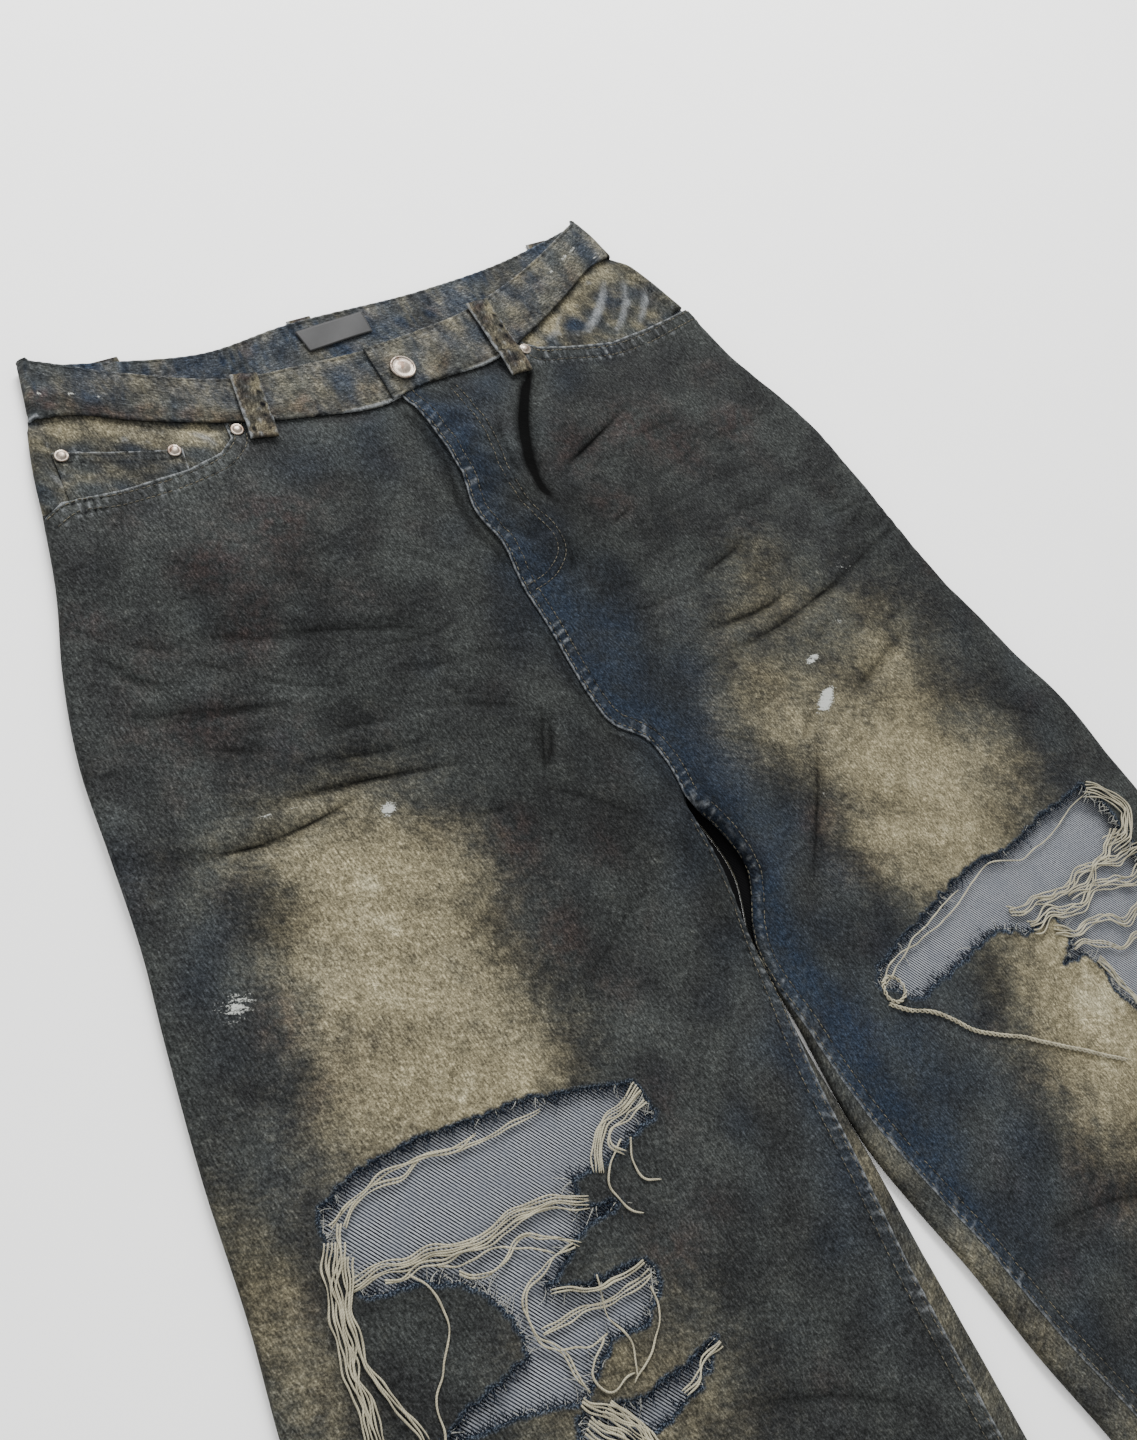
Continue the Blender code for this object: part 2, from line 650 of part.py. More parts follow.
def make_facing(side, name):
    """The side piece behind the pocket mouth, joined to the side seam above the mouth."""
    mouth = POCKET_MOUTH[side]
    end_x, end_y = mouth[0]
    stop = end_y + 4
    outer = [(side_seam(side, y), y) for y in (-44, -56, -70, stop)]
    low = [(end_x - side * 9, stop - 1), (end_x - side * 12, stop - 3), (side * 208, -140),
           (side * 168, -150), (side * 112, -142), (side * 92, -110)]
    inner_x = side * 92
    high = [(x, front_bottom(x) - SEAM_GAP) for x in steps(inner_x, side * 205, 16)]
    outline = outer + low + high
    round_side = (-6, -3, 0, 2.4, 4.4)
    fine = [(outer_turn(side, y) + side * d, y) for y in (-50, -62, -74, stop) for d in round_side]
    flat = fill(outline, [], fine + grid(-240, 260, -150, -40, 17), 1.6)
    return add_panel(name, flat, under_front(side, FACING_DROP), wall=LINING_CLOTH)


def make_coin_pocket():
    """The small pocket on the wearer's right facing."""
    outline = through([(-206, -58), (-198, -60), (-138, -77), (-141, -92), (-146, -128), (-172, -136),
                       (-203, -128), (-211, -96), (-206, -58)], 14)[:-1]
    flat = fill(outline, [], grid(-215, -130, -130, -60, 15), 4)
    return add_panel("coin_pocket", flat, under_front(-1, COIN_DROP), wall=0.9)


def band_height(x):
    """Height of the front of the waistband, without the overlap."""
    away = min(x - BAND_CORNER[-1][0][0], BAND_CORNER[1][0][0] - x)
    return BAND_HIGH + 3.4 * (1 - ease((away - OUTER_TURN) / EDGE_REACH))


def low_x(x):
    """Where a line across the waistband from x on its top edge meets its bottom edge."""
    tops = [BAND_CORNER[side][0][0] for side in (-1, 1)]
    lows = [BAND_CORNER[side][1][0] for side in (-1, 1)]
    return lows[0] + (x - tops[0]) * (lows[1] - lows[0]) / (tops[1] - tops[0])


def band_front(x, lift=0):
    """Top and bottom edge of the front waistband at x."""
    z = band_height(x) + lift
    return (x, front_top(x), z), (low_x(x), front_bottom(low_x(x)), z)


def band_corner(side):
    """Sections round the fold of the waistband at the side seam, from front to back."""
    found = []
    (top_x, top_y), (low_x, low_y) = BAND_CORNER[side]
    half = (band_height(top_x) - BAND_LOW) / 2
    inset = OUTER_TURN + WAISTBAND / 2
    for degrees in (0, 30, 60, 90, 120, 150, 180):
        angle = math.radians(degrees)
        shift = side * (OUTER_TURN * math.sin(angle) - inset)
        z = BAND_LOW + half * (1 + math.cos(angle))
        found.append(((top_x + shift, top_y, z), (low_x + shift, low_y, z)))
    return found


def add_ribbon(name, sections, finish, wall):
    """A strip of cloth through sections, each one a pair of points on its two long edges."""
    points = []
    for a, b in sections:
        middle_point = tuple((p + q) / 2 for p, q in zip(a, b))
        points += [a, middle_point, b]
    faces = []
    for i in range(len(sections) - 1):
        for k in (0, 1):
            first = 3 * i + k
            faces.append((first, first + 1, first + 4, first + 3))
    return add_piece(name, points, faces, finish, wall)


def make_waistband():
    """One strip folded round both sides, its ends lapped at the middle of the front."""
    left_x = BAND_CORNER[-1][0][0] + 14
    right_x = BAND_CORNER[1][0][0] - 14
    sections = [band_front(x) for x in steps(UNDERLAP_END, left_x, 14)]
    sections += band_corner(-1)
    for x in steps(left_x, right_x, 22):
        sections.append(((x, back_top(x), BAND_LOW), (low_x(x), back_bottom(low_x(x)), BAND_LOW)))
    sections += band_corner(1)[::-1]
    for x in steps(right_x, OVERLAP_END, 14):
        lift = OVERLAP_RISE * (1 - ease((x - UNDERLAP_END - 6) / 34))
        sections.append(band_front(x, lift))
    return add_ribbon("waistband", sections, "denim", WAISTBAND)


def strip_section(centre, direction, width):
    """The two edge points of a strip across a direction in plan."""
    x, y, z = centre
    dx, dy = direction
    return (x + dy * width / 2, y - dx * width / 2, z), (x - dy * width / 2, y + dx * width / 2, z)


def make_front_loops():
    """Belt loops over the front of the waistband, arched clear of it."""
    for name, ((x0, y0), (x1, y1)) in FRONT_LOOPS.items():
        run = math.hypot(x1 - x0, y1 - y0)
        direction = ((x1 - x0) / run, (y1 - y0) / run)
        sections = []
        for along in (0, 0.05, 0.15, 0.4, 0.7, 0.87, 0.95, 1):
            x = x0 + (x1 - x0) * along
            y = y0 + (y1 - y0) * along
            arch = 1.6 * math.sin(math.pi * along) ** 0.5
            base = max(band_height(x) + WAISTBAND / 2, front_height(x, y) + 0.5 + DENIM / 2)
            z = base + LAY_GAP + DENIM / 2 + arch
            sections.append(strip_section((x, y, z), direction, LOOP_WIDTH))
        add_ribbon(name, sections, "denim", DENIM)


def make_back_loops():
    """Belt loops under the back of the waistband, which lies on them."""
    for name, x in BACK_LOOPS.items():
        top = back_top(x) + 3
        sections = [
            strip_section((x, y, DENIM / 2), (0, -1), LOOP_WIDTH) for y in steps(top, top - 56, 19)
        ]
        add_ribbon(name, sections, "denim", 0.9)


def make_back_pocket(side, name):
    """A plain five-sided patch on the seat, under the back panel."""
    x = side * 112
    outline = [(x - 78, -128), (x + 78, -128), (x + 74, -262), (x, -286), (x - 74, -262)]
    flat = fill(through(outline + outline[:1], 40)[:-1], [], grid(x - 60, x + 60, -250, -140, 50), 8)
    return add_panel(name, flat, lambda px, py: (px, py, LINING_CLOTH / 2), wall=LINING_CLOTH)


def make_zip():
    """The closed zip under the fly: its tape and the slider at its top."""
    centre = [(fly_line(y) + 8, y) for y in steps(-96, FLY_END + 14, 28)]
    sections = [((x - 11, y, 4.2), (x + 11, y, 4.2)) for x, y in centre]
    add_ribbon("zip_tape", sections, "zip_tape", 0.8)
    x = fly_line(-106) + 8 + FLY_UNDER
    corners = [(dx, dy, dz) for dz in (4.95, 6.6) for dx, dy in ((-3.2, -6), (3.2, -6), (3.2, 6), (-3.2, 6))]
    points = [(x + dx, -106 + dy, dz) for dx, dy, dz in corners]
    faces = [(3, 2, 1, 0), (4, 5, 6, 7), (0, 1, 5, 4), (1, 2, 6, 5), (2, 3, 7, 6), (3, 0, 4, 7)]
    add_piece("zip_slider", points, faces, "antique_metal", smooth=False)


def add_turned(name, place, base, profile, finish, sides=24):
    """A round piece from a profile of (radius, height) rows, on an upright axis."""
    x, y = place
    points, faces = [], []
    for radius, height in profile:
        for i in range(sides):
            angle = 2 * math.pi * i / sides
            points.append((x + radius * math.cos(angle), y + radius * math.sin(angle), base + height))
    for k in range(len(profile) - 1):
        for i in range(sides):
            j = (i + 1) % sides
            faces.append((k * sides + i, k * sides + j, (k + 1) * sides + j, (k + 1) * sides + i))
    faces.append(tuple(reversed(range(sides))))
    last = (len(profile) - 1) * sides
    faces.append(tuple(range(last, last + sides)))
    return add_piece(name, points, faces, finish)


def make_button():
    """A shank button with a raised rim, on the lapped end of the waistband."""
    base = band_height(BUTTON_PLACE[0]) + OVERLAP_RISE + WAISTBAND / 2 + LAY_GAP
    profile = ((4.2, 0), (4.2, 1.1), (7.9, 1.3), (BUTTON_RADIUS, 2.0), (8.2, 2.9), (7.2, 3.2), (6.4, 2.8),
               (3.0, 3.1), (1.0, 3.2))
    add_turned("button", BUTTON_PLACE, base, profile, "antique_metal")


def seat_height(place, x, y, radius):
    """Highest point of the cloth's middle under a round piece."""
    ring = [(x + radius * math.cos(a), y + radius * math.sin(a)) for a in np.linspace(0, 2 * math.pi, 12)]
    return max(place(*point)[2] for point in [(x, y), *ring])


def make_rivets():
    """Domed rivets at the corners of the pockets."""
    for name, (x, y) in RIVETS.items():
        side = -1 if x < 0 else 1
        if "coin" in name:
            base = seat_height(under_front(-1, COIN_DROP), x, y, RIVET_RADIUS) + 0.45
        else:
            base = seat_height(partial(place_lapped, side), x, y, RIVET_RADIUS) + DENIM / 2
        profile = ((RIVET_RADIUS, 0), (RIVET_RADIUS - 0.2, 0.6), (2.6, 1.0), (1.0, 1.15))
        add_turned(name, (x, y), base + LAY_GAP, profile, "antique_metal", sides=12)


def make_label():
    """The bare label on the inside of the back waistband."""
    points = [(x, y, BAND_LOW + WAISTBAND / 2 + LAY_GAP + 0.4) for x, y in LABEL]
    add_piece("label", points, [(3, 2, 1, 0)], "label", wall=0.8)


def add_threads(name, count, spacing, route):
    """Pulled threads side by side, fused at one end into a narrow strip across their roots."""
    route = np.array(route, float)
    ahead = np.gradient(route, axis=0)
    ahead[:, 2] = 0
    ahead /= np.linalg.norm(ahead, axis=1)[:, None]
    across = np.stack([ahead[:, 1], -ahead[:, 0], np.zeros(len(route))], axis=1)
    up = np.array((0, 0, STRAND / 2))
    cells = []
    for k in range(count):
        middle_at = (k - (count - 1) / 2) * spacing
        cells += [middle_at - STRAND / 2, middle_at + STRAND / 2]
    points, faces = [], []
    root, back = route[0], route[0] - ahead[0] * ROOT_STRIP
    for at in cells:
        for base in (root, back):
            points += [base + across[0] * at - up, base + across[0] * at + up]
    for i in range(len(cells) - 1):
        a, b = 4 * i, 4 * i + 4
        faces += [(a + 1, b + 1, b + 3, a + 3), (a + 2, b + 2, b, a), (a + 3, b + 3, b + 2, a + 2)]
        if i % 2:
            faces.append((a, b, b + 1, a + 1))
    faces += [(0, 1, 3, 2)]
    end = 4 * (len(cells) - 1)
    faces += [(end + 2, end + 3, end + 1, end)]
    for k in range(count):
        a, b = 8 * k, 8 * k + 4
        ring = [a, b, b + 1, a + 1]
        middle_at = (k - (count - 1) / 2) * spacing
        for i in range(1, len(route)):
            centre = route[i] + across[i] * middle_at
            thin = STRAND / 2 * (STRAND_END_SHARE if i == len(route) - 1 else 1)
            side_way = across[i] * thin
            rise = up * STRAND_FLATNESS
            new = [centre - side_way - rise, centre + side_way - rise,
                   centre + side_way + rise, centre - side_way + rise]
            first = len(points)
            points += new
            fresh = [first, first + 1, first + 2, first + 3]
            faces += [(ring[j], ring[(j + 1) % 4], fresh[(j + 1) % 4], fresh[j]) for j in range(4)]
            ring = fresh
        faces.append(tuple(ring))
    piece = add_piece(name, points, faces, "thread", smooth=False)
    shape = bmesh.new()
    shape.from_mesh(piece.data)
    bmesh.ops.recalc_face_normals(shape, faces=shape.faces)
    shape.to_mesh(piece.data)
    shape.free()
    return piece


for old in list(bpy.data.objects):
    bpy.data.objects.remove(old, do_unlink=True)
laid_out = bpy.data.objects.new("laid_out", None)
bpy.context.collection.objects.link(laid_out)
laid_out.location.y = ORIGIN_Y * MM

for leg_side, leg in ((-1, "right"), (1, "left")):
    make_front(leg_side, f"front_{leg}")
    make_back(leg_side, f"back_{leg}")
    make_yoke(leg_side, f"yoke_{leg}")
    make_facing(leg_side, f"pocket_facing_{leg}")
    make_back_pocket(leg_side, f"back_pocket_{leg}")
make_coin_pocket()
make_waistband()
make_front_loops()
make_back_loops()
make_zip()
make_button()
make_rivets()
make_label()
for bundle, (strands, gap, path) in THREADS.items():
    add_threads(bundle, strands, gap, path)
bpy.context.view_layer.update()
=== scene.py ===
"""Ripped baggy jeans laid flat on their back: the cloth, sewing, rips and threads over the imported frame.

Sizes in the tables are millimetres in the plan of the laid garment: x runs across, from the wearer's
right leg (minus) to the left leg (plus), y runs from the hems (minus) up to the waist, and z is the
height over the surface.
"""

import math

import bpy
import numpy as np
from bpy.props import FloatProperty, FloatVectorProperty, PointerProperty
from mathutils import Matrix, Vector
from mathutils.geometry import delaunay_2d_cdt


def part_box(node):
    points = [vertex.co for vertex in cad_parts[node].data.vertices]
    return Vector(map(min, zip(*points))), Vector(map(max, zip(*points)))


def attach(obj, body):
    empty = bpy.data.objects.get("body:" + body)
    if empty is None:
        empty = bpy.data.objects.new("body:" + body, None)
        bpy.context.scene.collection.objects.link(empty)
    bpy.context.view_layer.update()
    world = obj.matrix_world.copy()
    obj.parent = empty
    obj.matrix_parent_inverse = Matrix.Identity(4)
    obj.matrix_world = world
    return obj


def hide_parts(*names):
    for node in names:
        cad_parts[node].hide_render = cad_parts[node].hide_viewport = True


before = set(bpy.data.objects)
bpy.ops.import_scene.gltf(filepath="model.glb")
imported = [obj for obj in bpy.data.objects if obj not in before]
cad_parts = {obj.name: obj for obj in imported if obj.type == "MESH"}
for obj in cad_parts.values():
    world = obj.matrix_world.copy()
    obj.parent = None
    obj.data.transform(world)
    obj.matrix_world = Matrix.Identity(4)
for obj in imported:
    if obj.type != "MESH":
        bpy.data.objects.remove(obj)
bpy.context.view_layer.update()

bl_info = {
    "name": "Ripped jeans",
    "version": (1, 0, 0),
    "blender": (4, 5, 0),
    "location": "View3D > Sidebar > Jeans",
    "description": "Worn denim jeans laid flat, with sewing, rips and pulled threads",
    "category": "Add Mesh",
}

MM = 0.001
ORIGIN_Y = 545.0

# Sizes of the cut, as in the solids
DENIM = 1.2
WAISTBAND = 2.2
BAND_WIDTH = 40.0
SEAM_GAP = 1.0
HEM_Y = -1098.0
HEM_WIDTH = 18.0
LAP_WIDTH = 9.5
POCKET_HEM = 12.0
FACING_DROP = 2.8
COIN_DROP = 1.36
LOOP_WIDTH = 17.0
OUTER_TURN = 4.0
INNER_TURN = 3.5
EDGE_REACH = 48.0
OUTER_RISE = 3.6
INNER_RISE = 2.2
CROTCH = (16.0, -391.0)
CROTCH_EASE = (-384.0, -404.0)
GAP_END = (-478.0, -502.0)
FLY_END = -226.0
FLY_UNDER = 8.0
FLAP_WIDTH = 36.0
FLAP_RISE = 2.0
UNDERLAP_END = 38.0
OVERLAP_END = -2.0
OVERLAP_RISE = 2.6
BAND_LOW = 2.6
BAND_HIGH = 5.7

# Below this line the legs are outside the photo, and the cloth's points are further apart
OUT_OF_VIEW = -830.0

# Side edges of the laid garment: y, x
OUTSEAM = {
    -1: ((-20, -204), (-64, -219), (-94, -227), (-140, -241), (-178, -256), (-228, -271), (-278, -279),
         (-328, -287), (-371, -297), (-436, -311), (-501, -322), (-546, -332), (-700, -350), (-900, -360),
         (-1098, -364)),
    1: ((-20, 209), (-60, 228), (-90, 240), (-139, 251), (-195, 273), (-247, 282), (-328, 290),
        (-403, 305), (-454, 319), (-543, 327), (-700, 348), (-900, 361), (-1098, 366)),
}
INNER_EDGE = {
    -1: ((-391, 15), (-436, 13), (-481, 4), (-537, -3), (-614, -7), (-674, -12), (-768, -19),
         (-900, -36), (-1098, -62)),
    1: ((-391, 17), (-418, 27), (-444, 29), (-481, 7), (-537, 0), (-614, -4), (-648, 1), (-692, 9),
        (-743, 15), (-797, 25), (-950, 44), (-1098, 66)),
}
IN_THE_GAP = -7.4
ON_THE_SIDE = -INNER_TURN * math.pi / 2
INSEAM = {
    -1: ((-391, IN_THE_GAP), (-478, IN_THE_GAP), (-503, ON_THE_SIDE), (-560, 1), (-1098, 4)),
    1: ((-391, IN_THE_GAP), (-478, IN_THE_GAP), (-503, ON_THE_SIDE), (-560, 1), (-614, 8), (-700, 11),
        (-798, 15), (-1098, 15)),
}

# Front fly edge and rise seam, and the seat seam behind it: y, x
FLY_LINE = ((-84, 4), (-123, 9), (-148, 9), (-180, 2), (-202, 6), (-222, 4), (-273, 3), (-314, 1),
            (-335, 5), (-350, 17), (-363, 19), (-391, 16))
SEAT_LINE = ((-50, 2), (-200, 4), (-330, 8), (-391, 16))
J_STITCH = ((39, -92), (42, -131), (37, -162), (38, -188), (43, -206), (41, -220), (26, -232), (6, -236))

# Edges of the waistband: x, y
FRONT_TOP = ((-197, 5), (-150, -17), (-91, -41), (-40, -46), (4, -48), (60, -44), (109, -33), (164, -13),
             (203, 4))
FRONT_BOTTOM = ((-208, -35), (-185, -38), (-146, -54), (-100, -71), (-50, -83), (-8, -89), (10, -86),
                (83, -81), (115, -70), (160, -50), (190, -36), (213, -32))
BACK_TOP = ((-197, 5), (-150, -7), (-95, -18), (-40, -14), (62, -15), (131, -10), (175, -2), (203, 4))
BACK_BOTTOM = ((-208, -35), (-155, -48), (-95, -57), (-40, -54), (62, -55), (131, -50), (185, -40),
               (213, -32))
BAND_CORNER = {-1: ((-197, 5), (-208, -35)), 1: ((203, 4), (213, -32))}

# Heights of the front and the back: y, height of the middle of the cloth
MIDDLE = ((0, 7.0), (-120, 7.0), (-230, 6.0), (-400, 5.0), (-1098, 4.6))
BACK_HEIGHT = ((-290, 2.0), (-335, DENIM / 2))

# Soft swells of the front: x, y, half width, half length, height
SWELLS = (
    (16, -392, 34, 46, 5.0), (-12, -440, 20, 44, 2.6), (46, -440, 20, 44, 2.6),
    (-165, -178, 62, 52, 1.6), (128, -150, 34, 30, 2.6), (185, -225, 62, 50, 1.8),
    (-95, -385, 80, 46, 2.0), (205, -430, 60, 60, 2.4), (278, -520, 30, 60, 3.2),
    (-205, -700, 80, 90, 1.8), (150, -720, 80, 80, 1.6), (-170, -930, 90, 90, 2.0),
    (220, -960, 90, 100, 2.0),
)

# Main creases of the front: start x, y, end x, y, bow, half width, height (minus for a trough)
CREASES = (
    (-262, -292, -150, -304, -8, 8, -2.0), (-205, -286, -86, -316, 3, 7, -1.6),
    (-176, -272, -76, -287, 2, 7, 1.6), (-246, -216, -156, -244, 2, 7, -1.5),
    (-184, -189, -58, -236, 2, 8, -1.5), (-240, -178, -212, -212, 0, 7, -1.4),
    (-30, -304, -52, -342, 0, 8, -1.6), (100, -98, 54, -186, -9, 7, -2.8),
    (84, -100, 40, -178, -9, 7, 1.4), (112, -275, 170, -262, 0, 7, -1.5),
    (95, -304, 176, -306, -3, 7, -1.6), (101, -328, 282, -296, -6, 8, -1.8),
    (76, -170, 138, -149, 0, 7, -1.6), (134, -386, 48, -484, 4, 10, -1.8),
    (236, -366, 164, -386, 0, 8, -1.6), (-150, -660, -60, -720, 6, 10, -1.6),
    (60, -700, 170, -745, 8, 10, -1.6), (-300, -820, -180, -860, -8, 10, -1.5),
    (150, -870, 270, -900, -8, 10, -1.5),
)

# Fine creases between them, in the same columns
FINE_CREASES = (
    (-185, -188, -123, -211, -3, 2.6, -0.7), (-129, -215, -52, -237, -7, 2.6, -0.7),
    (-244, -162, -230, -178, 2, 2.4, -0.6), (-236, -190, -219, -210, 1, 2.6, -0.8),
    (-178, -215, -125, -245, -4, 2.4, -0.9), (-197, -201, -178, -215, 1, 2.4, -0.6),
    (-232, -225, -154, -245, 1, 2.6, -0.9), (-194, -245, -171, -253, 0, 2.4, -0.6),
    (-174, -273, -100, -293, -3, 2.6, -0.8), (-205, -288, -84, -315, 2, 2.2, -1.0),
    (-251, -292, -203, -309, -1, 2.6, -1.0), (-200, -306, -150, -305, -1, 2.4, -0.9),
    (-94, -276, -38, -300, 2, 2.6, -0.8), (-78, -260, -68, -285, 1, 2.4, -0.6),
    (-30, -310, -50, -339, 4, 2.8, -1.0), (-101, -243, -45, -259, -4, 2.4, -0.6),
    (-213, -246, -177, -265, -1, 2.6, -0.6), (-223, -273, -200, -286, -1, 2.6, -0.6),
    (-151, -156, -115, -174, 1, 2.4, 0.6), (-180, -133, -154, -154, -2, 2.4, 0.6),
    (-147, -264, -101, -277, -2, 2.4, -0.6), (-226, -177, -193, -197, 1, 2.6, -0.6),
    (-106, -343, -81, -348, 0, 2.6, -0.8), (-60, -180, -24, -216, 3, 3.0, -0.7),
    (78, -170, 147, -145, 0, 2.4, -1.0), (139, -160, 187, -154, 0, 2.4, 0.6),
    (136, -168, 178, -165, 0, 2.4, -0.6), (81, -220, 107, -211, 1, 2.4, -0.8),
    (119, -273, 176, -263, -4, 2.8, 0.9), (118, -306, 180, -305, -4, 2.6, -1.0),
    (107, -325, 164, -323, 0, 2.2, -1.0), (183, -319, 225, -316, 0, 2.4, -0.9),
    (160, -347, 187, -337, -1, 2.6, -0.7), (231, -272, 276, -273, 1, 2.2, -0.7),
    (234, -286, 271, -279, -1, 2.2, -0.7), (259, -293, 291, -288, 0, 2.2, -0.7),
    (262, -305, 291, -298, 1, 2.2, -0.7), (167, -387, 211, -375, -1, 4.0, -0.7),
    (114, -397, 134, -382, 0, 4.0, -0.7), (75, -275, 120, -278, -1, 2.4, -0.7),
    (52, -273, 91, -278, -1, 2.4, -0.7), (97, -308, 148, -313, 1, 2.4, -0.6),
    (158, -286, 205, -285, 0, 2.4, -0.6), (206, -305, 250, -300, 2, 2.4, -0.8),
    (226, -354, 260, -351, 0, 2.6, -0.6), (131, -198, 183, -191, -1, 2.4, -0.6),
    (60, -112, 46, -176, -6, 3.0, -0.9), (24, -150, 32, -200, 2, 3.0, 0.5),
    (-60, -345, -12, -392, 3, 3.5, -0.7), (48, -360, 100, -400, 4, 4.0, -0.7),
    (-40, -420, -100, -450, 4, 4.5, -0.6), (250, -430, 300, -470, 3, 4.5, -0.6),
    (-290, -400, -250, -440, 3, 4.5, -0.6), (-330, -600, -270, -640, 3, 5.0, -0.7),
)

# Places where little light gets in beside a fold or seam: points x, y, then half width and depth of tone
HOLLOWS = (
    (((103, -92), (86, -108), (68, -132), (57, -154), (54, -176), (58, -192)), 3.2, 0.85),
    (((92, -100), (74, -122), (62, -146), (58, -170)), 8.0, 0.35),
    (((-4, -92), (3, -112), (4, -140), (-3, -168), (-4, -190), (1, -206), (-1, -222)), 3.5, 0.55),
    (((-2, -240), (-2, -280), (-5, -314), (0, -340), (12, -356), (13, -388)), 2.6, 0.35),
    (((33, -374), (29, -400), (33, -430), (32, -460)), 7.0, 0.35),
    (((2, -400), (-2, -440), (-8, -480)), 8.0, 0.3),
    (((44, -205), (46, -224), (36, -240)), 3.0, 0.35),
)

# Pocket mouths, from the side seam to the waistband: x, y
POCKET_MOUTH = {
    -1: ((-227, -95), (-215, -90), (-182, -92), (-142, -92), (-120, -88), (-110, -81), (-107, -70)),
    1: ((240, -91), (215, -94), (167, -97), (129, -89), (112, -84), (107, -74)),
}
COIN_POCKET = ((-206, -58), (-198, -60), (-138, -77), (-141, -92), (-146, -128), (-172, -136), (-203, -128),
               (-211, -96))

# Rips, round their edges: x, y
RIPS = {
    -1: (
        ((-277, -489), (-272, -474), (-248, -469), (-220, -471), (-194, -477), (-163, -484), (-134, -495),
         (-105, -507), (-101, -526), (-123, -529), (-139, -532), (-160, -528), (-164, -544), (-150, -548),
         (-143, -552), (-172, -551), (-182, -559), (-199, -562), (-181, -572), (-158, -578), (-148, -580),
         (-147, -593), (-164, -603), (-186, -600), (-208, -614), (-225, -605), (-247, -598), (-274, -591),
         (-261, -585), (-235, -584), (-221, -582), (-219, -564), (-224, -549), (-231, -538), (-250, -526),
         (-272, -520)),
        ((-216, -618), (-205, -620), (-184, -629), (-160, -631), (-137, -629), (-150, -639), (-178, -644),
         (-205, -641), (-222, -634)),
    ),
    1: (
        ((60, -541), (68, -534), (91, -528), (131, -522), (149, -518), (176, -516), (202, -521),
         (237, -516), (284, -514), (290, -530), (291, -560), (286, -600), (268, -635), (240, -652),
         (214, -644), (208, -626), (210, -612), (206, -600), (186, -596), (205, -585), (202, -569),
         (174, -568), (157, -555), (123, -558), (78, -560), (71, -551)),
    ),
}

# Washed-out thighs, dark places and blue places: x, y, half width, half length, turn, amount
FADES = (
    (-172, -345, 44, 36, 0, 0.75), (-196, -402, 40, 54, 0, 0.8), (-222, -462, 46, 36, 0, 0.5),
    (-150, -420, 38, 52, 0, 0.35), (-165, -472, 44, 28, 0, 0.6), (-128, -368, 26, 32, 0, 0.3),
    (-190, -302, 62, 22, 0, 0.25), (-312, -510, 20, 60, 0, 0.5), (-170, -632, 44, 46, 0, 0.35),
    (-210, -600, 34, 24, 0, 0.3), (-225, -720, 62, 80, 0, 0.35),
    (165, -274, 30, 20, 0, 0.25), (150, -312, 54, 24, 0, 0.3), (108, -372, 42, 36, 0, 0.55),
    (168, -426, 48, 44, 0, 0.75), (128, -470, 34, 34, 0, 0.5), (186, -476, 44, 42, 0, 0.5),
    (165, -512, 44, 30, 0, 0.55), (190, -596, 52, 44, 0, 0.8), (160, -655, 42, 44, 0, 0.6),
    (222, -645, 48, 40, 0, 0.6), (240, -470, 34, 50, 0, 0.3), (214, -366, 44, 36, 0, 0.4),
    (190, -740, 60, 70, 0, 0.5),
)
SHADES = (
    (-160, -95, 80, 34, 0, 0.3), (-30, -350, 70, 70, 0, -0.25), (44, -200, 34, 60, 0, -0.3),
    (110, -215, 60, 40, 0, -0.14), (-110, -240, 60, 60, 0, -0.14), (200, -90, 50, 40, 0, 0.25),
    (-255, -400, 36, 90, 0, 0.25), (-270, -270, 40, 60, 0, 0.15), (-110, -95, 70, 24, 0, 0.15),
    (-80, -540, 60, 60, 0, 0.12), (80, -640, 50, 80, 0, 0.15), (280, -350, 34, 90, 0, -0.1),
    (-20, -620, 30, 150, 0, 0.2),
)
BLUES = (
    (40, -330, 44, 70, 0, 0.6), (44, -420, 46, 60, 0, 0.5), (20, -240, 40, 50, 0, 0.6),
    (30, -130, 40, 50, 0, 0.5), (70, -560, 60, 90, 0, 0.35), (0, -560, 40, 110, 0, 0.4),
    (-60, -110, 50, 26, 0, 0.4), (120, -100, 70, 24, 0, 0.3), (60, -700, 50, 110, 0, 0.35),
    (-40, -640, 60, 90, 0, 0.25), (-270, -350, 40, 80, 0, 0.25), (280, -470, 40, 90, 0, 0.25),
)
PLUMS = (
    (-130, -150, 60, 40, 0, 0.6), (-200, -230, 50, 40, 0, 0.5), (-90, -400, 60, 60, 0, 0.4),
    (110, -170, 60, 40, 0, 0.5), (200, -180, 50, 40, 0, 0.4), (-230, -420, 30, 60, 0, 0.5),
    (90, -460, 40, 50, 0, 0.3), (-120, -560, 60, 50, 0, 0.3), (120, -700, 60, 60, 0, 0.4),
)
# Small scars where white weft shows: x, y, half width, half length, turn, amount
SCARS = (
    (157, -354, 8, 3, 10, 1.0), (145, -383, 11, 5, 12, 1.0), (152, -377, 8, 3, 20, 0.9),
    (-143, -319, 7, 4, 10, 1.0), (-187, -297, 10, 2, -8, 0.6), (-204, -294, 8, 2, 0, 0.6),
    (228, -306, 12, 8, 30, 0.5), (108, -431, 9, 6, 20, 0.45), (-261, -373, 11, 9, 0, 0.75),
    (205, -238, 12, 8, 20, 0.4), (196, -340, 8, 3, 0, 0.6),
)


